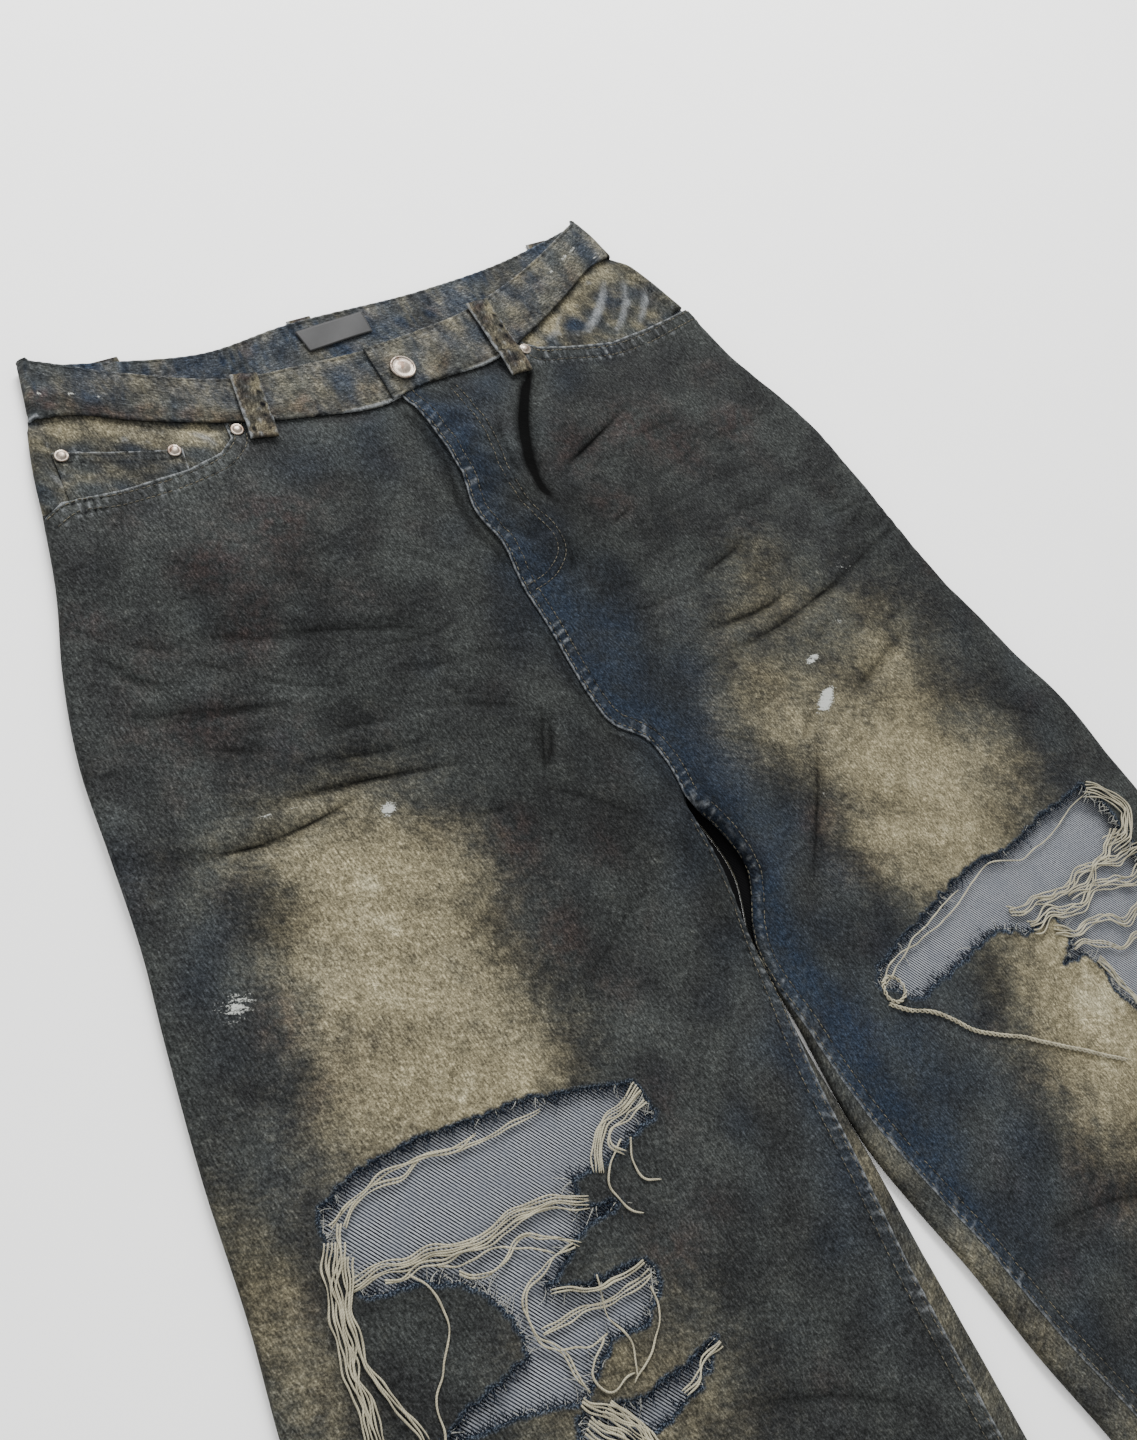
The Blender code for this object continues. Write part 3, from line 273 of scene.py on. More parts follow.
def smooth_line(rows):
    """A smooth curve through rows of (place, value), as a function of place."""
    places, values = np.array(sorted(rows), float).T
    slopes = np.gradient(values, places)

    def value_at(place):
        place = np.asarray(place, float)
        i = np.clip(np.searchsorted(places, place) - 1, 0, len(places) - 2)
        span = places[i + 1] - places[i]
        t = np.clip((place - places[i]) / span, 0, 1)
        rest = 1 - t
        return ((1 + 2 * t) * rest * rest * values[i] + t * rest * rest * span * slopes[i]
                + t * t * (3 - 2 * t) * values[i + 1] - t * t * rest * span * slopes[i + 1])

    return value_at


def bell(off, half):
    """1 in the middle, and down to a third at the half width."""
    return np.exp(-((off / half) ** 2))


def ease(t):
    """A smooth step from 0 to 1."""
    t = np.clip(t, 0, 1)
    return t * t * (3 - 2 * t)


outseam = {side: smooth_line(rows) for side, rows in OUTSEAM.items()}
inner_edge = {side: smooth_line(rows) for side, rows in INNER_EDGE.items()}
inseam = {side: smooth_line(rows) for side, rows in INSEAM.items()}
fly_line, seat_line = smooth_line(FLY_LINE), smooth_line(SEAT_LINE)
front_top, front_bottom = smooth_line(FRONT_TOP), smooth_line(FRONT_BOTTOM)
back_top, back_bottom = smooth_line(BACK_TOP), smooth_line(BACK_BOTTOM)
middle = smooth_line(MIDDLE)


def outer_turn(side, y):
    """Where the cloth starts to turn down at the outer side of a leg."""
    return outseam[side](y) - side * (OUTER_TURN + DENIM / 2)


def inner_turn(side, y):
    """Where it starts to turn down between the legs."""
    return inner_edge[side](y) + side * (INNER_TURN + DENIM / 2)


def crotch_share(y):
    """0 above the crotch, where there is no inner fold, and 1 below it."""
    start, end = CROTCH_EASE
    return ease((y - start) / (end - start))


def gap_share(y):
    """0 where the back closes the gap below the crotch, and 1 further down, where it folds up."""
    start, end = GAP_END
    return ease((y - start) / (end - start))


def back_height(y):
    """Height of the back cloth's middle: on the back pockets, and below them on the surface."""
    (start, high), (end, low) = BACK_HEIGHT
    return high + (low - high) * ease((y - start) / (end - start))


def ripple(x, y, size, seed, waves=14):
    """Soft uneven waves of about a size, between about -1 and 1."""
    rng = np.random.default_rng(seed)
    total = 0.0
    for _ in range(waves):
        angle, phase = rng.uniform(0, 2 * math.pi, 2)
        rate = 2 * math.pi / (size * rng.uniform(0.7, 1.7))
        total = total + np.sin((x * math.cos(angle) + y * math.sin(angle)) * rate + phase)
    return total / math.sqrt(waves)


def blobs(x, y, rows):
    """Sum of soft spots over the plan."""
    total = np.zeros(np.shape(x))
    for sx, sy, half_x, half_y, turn, amount in rows:
        c, s = math.cos(math.radians(turn)), math.sin(math.radians(turn))
        dx, dy = x - sx, y - sy
        u, v = dx * c + dy * s, dy * c - dx * s
        total = total + amount * np.exp(-((u / half_x) ** 2) - (v / half_y) ** 2)
    return total


def crease_height(x, y, rows):
    """What creases add to the height of the front."""
    total = np.zeros(np.shape(x))
    for row in rows:
        off, window = crease_place(x, y, row)
        total = total + row[6] * np.exp(-((off / row[5]) ** 2)) * window
    return total


def crease_place(x, y, row):
    """Distance from a crease's bowed line, and its strength from end to end."""
    x0, y0, x1, y1, bow = row[:5]
    run = math.hypot(x1 - x0, y1 - y0)
    ux, uy = (x1 - x0) / run, (y1 - y0) / run
    along = np.clip(((x - x0) * ux + (y - y0) * uy) / run, 0, 1)
    off = (y - y0) * ux - (x - x0) * uy - bow * 4 * along * (1 - along)
    return off, np.sin(math.pi * along) ** 0.7


def crease_shade_and_highlight(x, y):
    """Painted shade and highlight of the creases, as a change of lightness: a dark line along each trough, a
    lighter band beside it, ridges lighter and troughs darker.
    """
    total = np.zeros(np.shape(x))
    for row in CREASES + FINE_CREASES:
        off, window = crease_place(x, y, row)
        half, height = row[5:]
        line = bell(off, 1.5) * (height < 0)
        beside_it = bell(np.abs(off) - half - 2, 3) * np.sign(-height)
        total = total + window * (-(0.12 + 0.22 * abs(height)) * line + 0.09 * abs(height) * beside_it
                                  + 0.10 * height * bell(off, half))
    return total


def crease_points(rows, step, offsets):
    """Points along creases and beside them."""
    found = []
    for x0, y0, x1, y1, bow, half, _ in rows:
        run = math.hypot(x1 - x0, y1 - y0)
        ux, uy = (x1 - x0) / run, (y1 - y0) / run
        along = steps(0, 1, step / run)
        for off in offsets:
            side = off * half + bow * 4 * along * (1 - along)
            found.append(pairs(x0 + ux * run * along - uy * side, y0 + uy * run * along + ux * side))
    return np.vstack(found)


def whiskers(x, y):
    """Faint crumples across the hips and thighs, from -1 to 1."""
    total = np.zeros(np.shape(x))
    for side, degrees, seed in ((-1, -19, 31), (1, 3, 33)):
        c, s = math.cos(math.radians(degrees)), math.sin(math.radians(degrees))
        along, across = x * c + y * s, y * c - x * s
        wave = 0.6 * ripple(along * 0.16, across, 9, seed) + 0.6 * ripple(along * 0.22, across, 17, seed + 1)
        zone = ease((side * x + 10) / 40) * bell(y + 245, 105)
        total = total + wave * zone
    return total


def front_height(x, y):
    """Height of the middle of the front cloth where it isn't folded down."""
    high = middle(y)
    for side in (-1, 1):
        inside = side * (outer_turn(side, y) - x)
        high = high + OUTER_RISE * (1 - ease(inside / EDGE_REACH))
    split = (inner_edge[-1](y) + inner_edge[1](y)) / 2
    side = np.where(x < split, -1, 1)
    inside = np.where(side < 0, inner_turn(-1, y) - x, x - inner_turn(1, y))
    high = high + INNER_RISE * (1 - ease(inside / EDGE_REACH)) * crotch_share(y)
    high = high + blobs(x, y, [(a, b, c, d, 0, h) for a, b, c, d, h in SWELLS])
    high = high + crease_height(x, y, CREASES) + crease_height(x, y, FINE_CREASES) + 0.28 * whiskers(x, y)
    return high + 0.4 * ripple(x, y, 70, 5) + 0.2 * ripple(x, y, 24, 6)


def folds(side, y, inner_share):
    """The two folds of a leg: which way is out, where the turn starts, its width and its share."""
    return (
        (side, outer_turn(side, y), OUTER_TURN, np.ones(np.shape(y))),
        (-side, inner_turn(side, y), INNER_TURN, inner_share),
    )


def blend_spots(spots, x, z, share):
    """Moves spots in x and z by a share."""
    spots[:, 0] += (x - spots[:, 0]) * share
    spots[:, 2] += (z - spots[:, 2]) * share


def place_front(side, x, y, lift):
    """Lays flat points of a front panel over the garment and round its sides."""
    x, y = np.asarray(x, float), np.asarray(y, float)
    spots = np.stack([x, y, front_height(x, y) + lift], axis=1)
    for out, turn_x, across, share in folds(side, y, crotch_share(y)):
        run = out * (x - turn_x)
        top = front_height(turn_x, y) + lift
        half = (top - back_height(y)) / 2
        angle = np.clip(run / across, 0, math.pi)
        blend_spots(spots, turn_x + out * across * np.sin(angle), top - half * (1 - np.cos(angle)),
                    share * (run > 0))
    return spots


def place_back(side, x, y, lift=0.0):
    """Lays flat points of a back panel on the surface, round the sides and on to the front."""
    x, y = np.asarray(x, float), np.asarray(y, float)
    low = back_height(y)
    spots = np.stack([x, y, low + lift], axis=1)
    for out, turn_x, across, share in folds(side, y, gap_share(y)):
        run = out * (x - turn_x)
        half = (front_height(turn_x, y) - low) / 2
        angle = np.clip(run / across, 0, math.pi)
        past = np.maximum(run - math.pi * across, 0)
        folded_x = turn_x + out * (across * np.sin(angle) - past)
        folded_z = np.where(past > 0, front_height(folded_x, y), low + half * (1 - np.cos(angle)))
        blend_spots(spots, folded_x, folded_z, share * (run > 0))
    return spots


def front_inseam(side, y, gap=SEAM_GAP / 2):
    """Where a front panel ends at its inner side, as a flat x."""
    return inner_turn(side, y) + side * (inseam[side](y) + gap)


def back_inseam(side, y, under):
    """Where a back panel ends: at the middle of the gap, and below it at the inseam."""
    middle_x = (inner_edge[-1](y) + inner_edge[1](y)) / 2 + side * SEAM_GAP / 2
    seam_x = inner_turn(side, y) - side * (math.pi * INNER_TURN + inseam[side](y) + under)
    return middle_x + (seam_x - middle_x) * gap_share(y)


def side_seam(side, y):
    """Both panels end a quarter turn round the outer fold, a little apart."""
    return outer_turn(side, y) + side * (math.pi / 2 * OUTER_TURN - 0.1)


def pairs(x, y):
    """Points from their x and their y."""
    return np.stack([x, y], axis=1)


def steps(start, end, step):
    """Even places from start to end, about a step apart."""
    return np.linspace(start, end, max(1, round(abs(end - start) / step)) + 1)


def graded(start, end, fine, coarse):
    """Places along y: fine steps where the photo shows the legs, coarse ones below."""
    change = OUT_OF_VIEW
    if (start - change) * (end - change) >= 0:
        return steps(start, end, fine if max(start, end) > change else coarse)
    first, last = (fine, coarse) if start > end else (coarse, fine)
    return np.concatenate([steps(start, change, first)[:-1], steps(change, end, last)])


def through(points, step, closed=False):
    """Points a step apart along a run of straight lines."""
    points = np.asarray(points, float)
    if closed:
        points = np.vstack([points, points[:1]])
    found = []
    for a, b in zip(points, points[1:]):
        count = max(1, math.ceil(np.linalg.norm(b - a) / step))
        found.append(a + (b - a) * np.arange(count)[:, None] / count)
    return np.vstack(found if closed else found + [points[-1:]])


def smooth_path(points, step):
    """Points a step apart on a smooth curve through the given ones."""
    points = np.asarray(points, float)
    length = np.concatenate([[0], np.cumsum(np.linalg.norm(np.diff(points, axis=0), axis=1))])
    at = steps(0, length[-1], step)
    return np.stack([smooth_line(list(zip(length, column)))(at) for column in points.T], axis=1)


def inside_ring(points, ring):
    """Which of the points lie inside a closed ring."""
    x, y = points[:, 0], points[:, 1]
    found = np.zeros(len(points), bool)
    for (x0, y0), (x1, y1) in zip(ring, np.roll(ring, -1, axis=0)):
        if y0 != y1:
            near = (y0 > y) != (y1 > y)
            found ^= near & (x < (x1 - x0) * (y - y0) / (y1 - y0) + x0)
    return found


def along_line(x, y, line, closed=False):
    """Place along a line and distance from it (plus on its left), for many points."""
    line = np.asarray(line, float)
    if closed:
        line = np.vstack([line, line[:1]])
    best = np.full(np.shape(x), 1e9)
    place, side_of = np.zeros(np.shape(x)), np.ones(np.shape(x))
    done = 0.0
    for (x0, y0), (x1, y1) in zip(line, line[1:]):
        run = math.hypot(x1 - x0, y1 - y0)
        ux, uy = (x1 - x0) / run, (y1 - y0) / run
        t = np.clip((x - x0) * ux + (y - y0) * uy, 0, run)
        off = np.hypot(x - x0 - t * ux, y - y0 - t * uy)
        near = off < best
        best = np.where(near, off, best)
        place = np.where(near, done + t, place)
        side_of = np.where(near, np.sign((y - y0) * ux - (x - x0) * uy), side_of)
        done += run
    return place, best * side_of


def beside(line, offset):
    """The line moved to its left by an offset."""
    line = np.asarray(line, float)
    ahead = np.gradient(line, axis=0)
    ahead /= np.linalg.norm(ahead, axis=1)[:, None]
    return line + pairs(-ahead[:, 1], ahead[:, 0]) * offset


def cover(x0, x1, y0, y1, step):
    """A staggered grid of points."""
    rows = steps(y0, y1, step * 0.87)
    columns = steps(x0, x1, step)
    return np.array([(x + step / 2 * (i % 2), y) for i, y in enumerate(rows) for x in columns])


def thinned(fixed, groups, margin):
    """Keeps each point of the groups that isn't too close to one kept before it."""
    cells, kept = {}, []

    def add(point):
        cells.setdefault((int(point[0] // margin), int(point[1] // margin)), []).append(point)

    for point in fixed:
        add(point)
    for points, share in groups:
        near = (margin * share) ** 2
        for point in points:
            i, j = int(point[0] // margin), int(point[1] // margin)
            close = any((point[0] - q[0]) ** 2 + (point[1] - q[1]) ** 2 < near
                        for a in (i - 1, i, i + 1) for b in (j - 1, j, j + 1)
                        for q in cells.get((a, b), ()))
            if not close:
                add(point)
                kept.append(point)
    return kept


def fill(outline, holes, groups, margin):
    """Triangles over a flat outline with holes: corner points and faces."""
    rings = [np.asarray(ring, float) for ring in (outline, *holes)]
    edges, first = [], 0
    for ring in rings:
        count = len(ring)
        edges += [(first + i, first + (i + 1) % count) for i in range(count)]
        first += count
    ready = []
    for points, share in groups:
        points = np.asarray(points, float)
        keep = inside_ring(points, rings[0])
        for ring in rings[1:]:
            keep &= ~inside_ring(points, ring)
        ready.append((points[keep].tolist(), share))
    fixed = np.vstack(rings).tolist()
    points = fixed + thinned(fixed, ready, margin)
    corners, _, faces, *_ = delaunay_2d_cdt([Vector(p) for p in points], edges, [], 0, 1e-5)
    corners = np.array([tuple(c) for c in corners])
    faces = np.array([f for f in faces if len(f) == 3])
    middles = corners[faces].mean(axis=1)
    keep = inside_ring(middles, rings[0])
    for ring in rings[1:]:
        keep &= ~inside_ring(middles, ring)
    return corners, faces[keep]


def in_world(spots):
    """Plan millimetres to metres in the frame."""
    spots = np.array(spots, float)
    spots[:, 1] += ORIGIN_Y
    return spots * MM


def add_mesh(name, spots, faces, finishes, flat, fields=None, wall=0.0):
    """An object from points in plan millimetres, with a map in metres of cloth and named fields."""
    mesh = bpy.data.meshes.new(name)
    mesh.from_pydata(in_world(spots).tolist(), [], [list(face) for face in faces])
    for finish in finishes:
        mesh.materials.append(finish)
    mesh.shade_smooth()
    corner = np.zeros(len(mesh.loops), np.int32)
    mesh.loops.foreach_get("vertex_index", corner)
    layer = mesh.uv_layers.new(name="cloth")
    layer.data.foreach_set("uv", (np.asarray(flat, float)[corner, :2] * MM).astype(np.float32).ravel())
    for field, values in (fields or {}).items():
        made = mesh.attributes.new(field, "FLOAT", "POINT")
        made.data.foreach_set("value", np.asarray(values, np.float32))
    piece = bpy.data.objects.new(name, mesh)
    bpy.context.collection.objects.link(piece)
    if wall:
        thickness = piece.modifiers.new("wall", "SOLIDIFY")
        thickness.thickness = wall * MM
        thickness.offset = 0
        thickness.material_offset = len(finishes) - 1
        make_plain(piece)
    return piece


def denim_shell(name, spots, faces, flat, fields):
    """A panel of denim: its face outside, and the weft side inside."""
    finishes = [finish("face"), finish("inside")]
    return add_mesh(name, spots, faces, finishes, flat, fields, wall=DENIM)


def make_plain(piece):
    """Turns what the modifiers of a piece make into its own mesh."""
    graph = bpy.context.evaluated_depsgraph_get()
    mesh = bpy.data.meshes.new_from_object(piece.evaluated_get(graph), preserve_all_data_layers=True,
                                           depsgraph=graph)
    piece.modifiers.clear()
    old, piece.data = piece.data, mesh
    mesh.name = piece.name
    bpy.data.meshes.remove(old)


# Finishes


def linear(code):
    """An sRGB hex colour as linear RGBA."""
    parts = [int(code[i:i + 2], 16) / 255 for i in (0, 2, 4)]
    return (*[p / 12.92 if p <= 0.04045 else ((p + 0.055) / 1.055) ** 2.4 for p in parts], 1.0)


def add_node(tree, kind, inputs=None, **settings):
    """Adds a shader node; each input is a value or another node's output."""
    made = tree.nodes.new(kind)
    for key, value in settings.items():
        setattr(made, key, value)
    for key, value in (inputs or {}).items():
        if isinstance(value, bpy.types.NodeSocket):
            tree.links.new(value, made.inputs[key])
        else:
            made.inputs[key].default_value = value
    return made


def settings_colour(name):
    """A colour of the denim settings, as linear RGBA."""
    return (*getattr(bpy.context.scene.jeans_denim, name), 1.0)


class Finish:
    """A material under construction, with short ways to add its nodes."""

    def __init__(self, name, roughness, **uniform):
        self.material = bpy.data.materials.new(name)
        self.material.use_nodes = True
        self.tree = self.material.node_tree
        self.shader = self.tree.nodes["Principled BSDF"]
        self.shader.inputs["Roughness"].default_value = roughness
        for key, value in uniform.items():
            self.shader.inputs[key.replace("_", " ")].default_value = value

    def field(self, name):
        """A named field of the mesh."""
        return add_node(self.tree, "ShaderNodeAttribute", attribute_name=name).outputs["Fac"]

    def sums(self, operation, a, b):
        """Arithmetic on two values."""
        return add_node(self.tree, "ShaderNodeMath", {0: a, 1: b}, operation=operation).outputs[0]

    def plus(self, a, b):
        """One value and another."""
        return self.sums("ADD", a, b)

    def times(self, a, b):
        """One value times another."""
        return self.sums("MULTIPLY", a, b)

    def spread(self, pattern, amount):
        """A pattern of 0 to 1 taken to either side of zero, to an amount."""
        return self.times(self.sums("SUBTRACT", pattern, 0.5), amount)

    def ramp(self, value, low, high, start=0.0, end=1.0):
        """A smooth change from start to end as a value goes from low to high."""
        return add_node(self.tree, "ShaderNodeMapRange", {0: value, 1: low, 2: high, 3: start, 4: end},
                        interpolation_type="SMOOTHSTEP").outputs[0]

    def tint(self, colour, light):
        """The colour made lighter or darker by a factor."""
        grey = add_node(self.tree, "ShaderNodeCombineXYZ", {0: light, 1: light, 2: light}).outputs[0]
        return self.mix(1.0, colour, grey, "MULTIPLY")

    def mix(self, share, a, b, blend="MIX"):
        """One colour over another by a share."""
        made = add_node(self.tree, "ShaderNodeMix", {0: share, 6: a, 7: b}, data_type="RGBA",
                        blend_type=blend)
        return made.outputs[2]

    def cloth(self, turn=0.0, size=(1.0, 1.0)):
        """The map of the cloth, turned, in units of a size in millimetres across and along the turn."""
        made = add_node(self.tree, "ShaderNodeUVMap", uv_map="cloth")
        scaled = add_node(self.tree, "ShaderNodeMapping", {"Vector": made.outputs[0]}, vector_type="TEXTURE")
        scaled.inputs["Rotation"].default_value = (0, 0, math.radians(turn))
        scaled.inputs["Scale"].default_value = (size[0] * MM, size[1] * MM, MM)
        return scaled.outputs[0]

    def place(self, stretch=(1, 1, 1)):
        """The place on the object in millimetres."""
        made = add_node(self.tree, "ShaderNodeTexCoord")
        scaled = add_node(self.tree, "ShaderNodeMapping", {"Vector": made.outputs["Object"]})
        scaled.inputs["Scale"].default_value = [1000 * s for s in stretch]
        return scaled.outputs[0]

    def noise(self, vector, size, detail=2.0, roughness=0.5):
        """Uneven spots of about a size."""
        made = add_node(self.tree, "ShaderNodeTexNoise", {
            "Vector": vector, "Scale": 1 / size, "Detail": detail, "Roughness": roughness})
        return made.outputs[0]

    def wave(self, vector, pitch, distortion, rough=1.0):
        """Straight bands a pitch apart across the vector's x."""
        made = add_node(self.tree, "ShaderNodeTexWave", {
            "Vector": vector, "Scale": 2 * math.pi / 20 / pitch, "Distortion": distortion, "Detail": 1.0,
            "Detail Scale": rough}, wave_type="BANDS", bands_direction="X")
        return made.outputs["Fac"]

    def bump(self, height, distance, strength, under=None):
        """A normal from a height, a distance in millimetres deep."""
        made = add_node(self.tree, "ShaderNodeBump", {
            "Strength": strength, "Distance": distance * MM, "Height": height})
        if under:
            self.tree.links.new(under, made.inputs["Normal"])
        return made.outputs[0]

    def finish(self, colour, normal=None):
        """Links the colour and the normal, and gives the material."""
        self.tree.links.new(colour, self.shader.inputs["Base Color"])
        if normal:
            self.tree.links.new(normal, self.shader.inputs["Normal"])
        return self.material


# Turn of the face's strokes and of the back's lines in degrees, and the back's pitch in millimetres:
# a real twill line is 0.7 mm apart, which wouldn't show, so it is drawn twice as coarse
FACE_TWILL = 8.0
BACK_TWILL = 28.0
BACK_PITCH = 1.45


def denim_outside():
    """Washed indigo warp-faced twill with dusty fades; white weft flecks where it is worn."""
    f = Finish("denim_face", 0.95, Specular_IOR_Level=0.06)
    fade, shade, navy = f.field("fade"), f.field("shade"), f.field("navy")
    plum, worn, scar = f.field("plum"), f.field("worn"), f.field("scar")
    blotch = f.noise(f.place(), 36, 4, 0.6)
    cloud = f.noise(f.place(), 9, 4, 0.65)
    stroke = f.noise(f.cloth(FACE_TWILL, (1.15, 3.4)), 1, 2, 0.65)
    grain = f.noise(f.cloth(), 1.0, 2, 0.7)
    streak = f.noise(f.cloth(0, (1.3, 14)), 1, 3, 0.6)
    scuff = f.noise(f.cloth(62, (2.2, 9)), 1, 3, 0.7)
    base = f.mix(f.ramp(blotch, 0.35, 0.65), linear("232424"), linear("2a2c2b"))
    base = f.mix(f.times(f.ramp(plum, 0.1, 0.8), f.ramp(cloud, 0.35, 0.65)), base, linear("2c2625"))
    base = f.mix(f.times(f.ramp(navy, 0.05, 0.95), f.ramp(cloud, 0.25, 0.65, 0.5, 1.0)), base,
                 linear("1b222c"))
    patchy = f.plus(f.spread(cloud, 0.7),
                    f.spread(scuff, 0.5))
    dust = f.plus(fade, f.times(patchy, f.ramp(fade, 0.0, 0.6, 0.5, 1.0)))
    base = f.mix(f.ramp(dust, 0.0, 1.15), base, settings_colour("dust"))
    base = f.mix(f.ramp(dust, 0.9, 1.5), base, linear("8d876f"))
    weave = f.plus(f.spread(stroke, 2.1),
                   f.spread(grain, 1.7))
    weave = f.plus(weave, f.spread(streak, 0.45))
    weave = f.plus(weave, f.spread(scuff, 0.5))
    light = add_node(f.tree, "ShaderNodeMath", {0: 5.2, 1: weave}, operation="POWER").outputs[0]
    light = f.times(light, f.ramp(blotch, 0.2, 0.8, 0.8, 1.16))
    # the shade field holds the cloth's tone, and also painted shade and highlight of creases, hollows and
    # crumples
    light = f.times(light, f.plus(shade, 1.0))
    light = f.sums("MAXIMUM", light, 0.04)
    colour = f.tint(base, light)
    # edges and seam ridges worn to the weft; painted shade near black in the stitch grooves and pucker
    # hollows
    rough = f.ramp(f.plus(grain, stroke), 0.8, 1.2, 0.35, 1.0)
    colour = f.mix(f.times(f.ramp(worn, 0.08, 1.0), rough), colour, linear("75787a"))
    colour = f.mix(f.ramp(f.times(worn, -1.0), 0.05, 0.9), colour, linear("090a0c"))
    torn_up = f.plus(scar, f.spread(scuff, 1.3))
    torn_up = f.plus(torn_up, f.spread(grain, 1.1))
    torn_share = f.times(f.ramp(torn_up, 0.55, 0.8), f.ramp(scar, 0.05, 0.3))
    colour = f.mix(torn_share, colour, linear("9a9c97"))
    # at a rip the dust is gone and the indigo is dark
    near_rip = f.ramp(f.plus(f.field("fray"), f.spread(cloud, 0.9)),
                      0.45, 0.95)
    colour = f.mix(near_rip, colour, f.mix(f.ramp(grain, 0.45, 0.68), linear("0d1219"), linear("4a525c")))
    normal = f.bump(weave, 0.16, 0.5)
    normal = f.bump(f.plus(cloud, scuff), 0.7, 0.6, normal)
    return f.finish(colour, normal)


def denim_inside():
    """The weft side of the same twill: crisp white floats between dark indigo lines."""
    f = Finish("denim_weft_side", 0.9, Specular_IOR_Level=0.1)
    wobble = f.noise(f.cloth(), 12, 3, 0.6)
    line = f.wave(f.cloth(BACK_TWILL), BACK_PITCH, 0.5, 0.2)
    yarn = f.noise(f.cloth(BACK_TWILL, (0.8, 2.4)), 1, 2, 0.6)
    ends = f.noise(f.cloth(), 0.8, 1, 0.6)
    share = f.plus(line, f.spread(yarn, 0.8))
    share = f.plus(share, f.spread(ends, 0.4))
    colour = f.mix(f.ramp(share, 0.34, 0.66), linear("0a0d14"), linear("8b8e93"))
    colour = f.mix(f.ramp(wobble, 0.35, 0.7, 0.0, 0.35), colour, linear("4b4f58"))
    # painted shade: near black where the shade field is high, in the gap between the legs
    colour = f.mix(f.ramp(f.field("shade"), 0.3, 1.0), colour, linear("020203"))
    return f.finish(colour, f.bump(line, 0.25, 0.6))


def raw_yarn(name, tint, dark="5f5a49"):
    """Unbleached cotton weft, spun, a little dirty."""
    f = Finish(name, 0.85, Sheen_Weight=0.15, Specular_IOR_Level=0.25)
    ply = f.wave(f.cloth(35), 0.75, 1.0, 1.0)
    dirt = f.noise(f.place(), 8, 3, 0.6)
    fibre = f.noise(f.cloth(0, (0.3, 1.6)), 1, 1)
    colour = f.mix(f.ramp(dirt, 0.35, 0.75, 0.0, 0.6), tint, linear(dark))
    colour = f.mix(f.ramp(f.plus(ply, fibre), 0.35, 1.1, 0.5, 0.0), colour, linear("46412f"))
    return f.finish(colour, f.bump(f.plus(ply, fibre), 0.12, 0.5))


def indigo_yarn():
    """Dyed warp ends: dark indigo with a pale core here and there."""
    f = Finish("indigo_warp_yarn", 0.9, Specular_IOR_Level=0.08)
    speck = f.noise(f.place(), 1.6, 2, 0.6)
    colour = f.mix(f.ramp(speck, 0.45, 0.72), linear("0e131c"), linear("39414c"))
    return f.finish(colour)


def sewing_thread():
    """Faded tan topstitch thread."""
    f = Finish("topstitch_thread", 0.75, Sheen_Weight=0.05, Specular_IOR_Level=0.3)
    dirt = f.noise(f.place(), 7, 2, 0.6)
    colour = f.mix(f.ramp(dirt, 0.38, 0.62), settings_colour("thread"), linear("2c2a23"))
    return f.finish(colour, f.bump(f.noise(f.place(), 0.4), 0.08, 0.5))


def dull_metal():
    """Old nickel plate over copper, rubbed bright on high spots, dull in the dish."""
    f = Finish("antique_plate", 0.4, Metallic=0.95)
    oxide = f.noise(f.place(), 5, 3, 0.5)
    scratch = f.noise(f.place((3, 0.4, 1)), 1.0, 2, 0.6)
    colour = f.mix(f.ramp(oxide, 0.42, 0.66), linear("857c72"), linear("5b4c42"))
    rough = f.ramp(f.plus(oxide, scratch), 0.8, 1.2, 0.28, 0.5)
    f.tree.links.new(rough, f.shader.inputs["Roughness"])
    return f.finish(colour, f.bump(scratch, 0.02, 0.3))


def satin_label():
    """Plain black woven satin."""
    f = Finish("black_satin_label", 0.55, Sheen_Weight=0.1, Specular_IOR_Level=0.3)
    rib = f.wave(f.cloth(), 0.5, 0.2)
    colour = f.mix(f.ramp(f.noise(f.place(), 5, 2), 0.35, 0.7), linear("060607"), linear("0c0c0e"))
    return f.finish(colour, f.bump(rib, 0.06, 0.5))


def zip_tape_cloth():
    """Dark ribbed zip tape."""
    f = Finish("zip_tape_weave", 0.85, Sheen_Weight=0.1)
    rib = f.wave(f.cloth(90), 0.7, 0.1)
    colour = f.mix(rib, linear("090b10"), linear("171a20"))
    return f.finish(colour, f.bump(rib, 0.1, 0.5))


def studio_floor():
    """Plain pale painted board."""
    f = Finish("pale_floor", 0.9)
    grain = f.noise(f.place(), 60, 3, 0.5)
    return f.finish(f.mix(grain, linear("f6f6f5"), linear("fafaf9")))


FINISHES = {}


def finish(name):
    """The finish of that name, made at its first use."""
    makers = {
        "face": denim_outside, "inside": denim_inside, "indigo": indigo_yarn,
        "yarn": lambda: raw_yarn("raw_weft_yarn", settings_colour("yarn")),
        "edge_yarn": lambda: raw_yarn("white_edge_yarn", linear("93938b"), "565b60"),
        "sewing": sewing_thread, "metal": dull_metal, "label": satin_label, "tape": zip_tape_cloth,
        "floor": studio_floor,
    }
    if name not in FINISHES:
        FINISHES[name] = makers[name]()
    return FINISHES[name]


# Tones and relief of the cloth


def tone_fields(x, y):
    """How washed, shaded, blue and purple the garment's face is over the plan."""
    uneven = 0.16 * ripple(x, y, 46, 21) + 0.10 * ripple(x, y, 19, 22)
    fade = blobs(x, y, FADES)
    fade = np.clip(fade * (1 + uneven), 0, 1.4)
    return {
        "fade": fade,
        "shade": blobs(x, y, SHADES) + 0.07 * ripple(x, y, 60, 23),
        "navy": np.clip(blobs(x, y, BLUES) + 0.12 * ripple(x, y, 40, 24), 0, 1),
        "plum": np.clip(blobs(x, y, PLUMS) + 0.2 * ripple(x, y, 50, 25), 0, 1),
        "scar": np.clip(blobs(x, y, SCARS), 0, 1),
        "worn": np.zeros(np.shape(x)),
        "fray": np.zeros(np.shape(x)),
    }


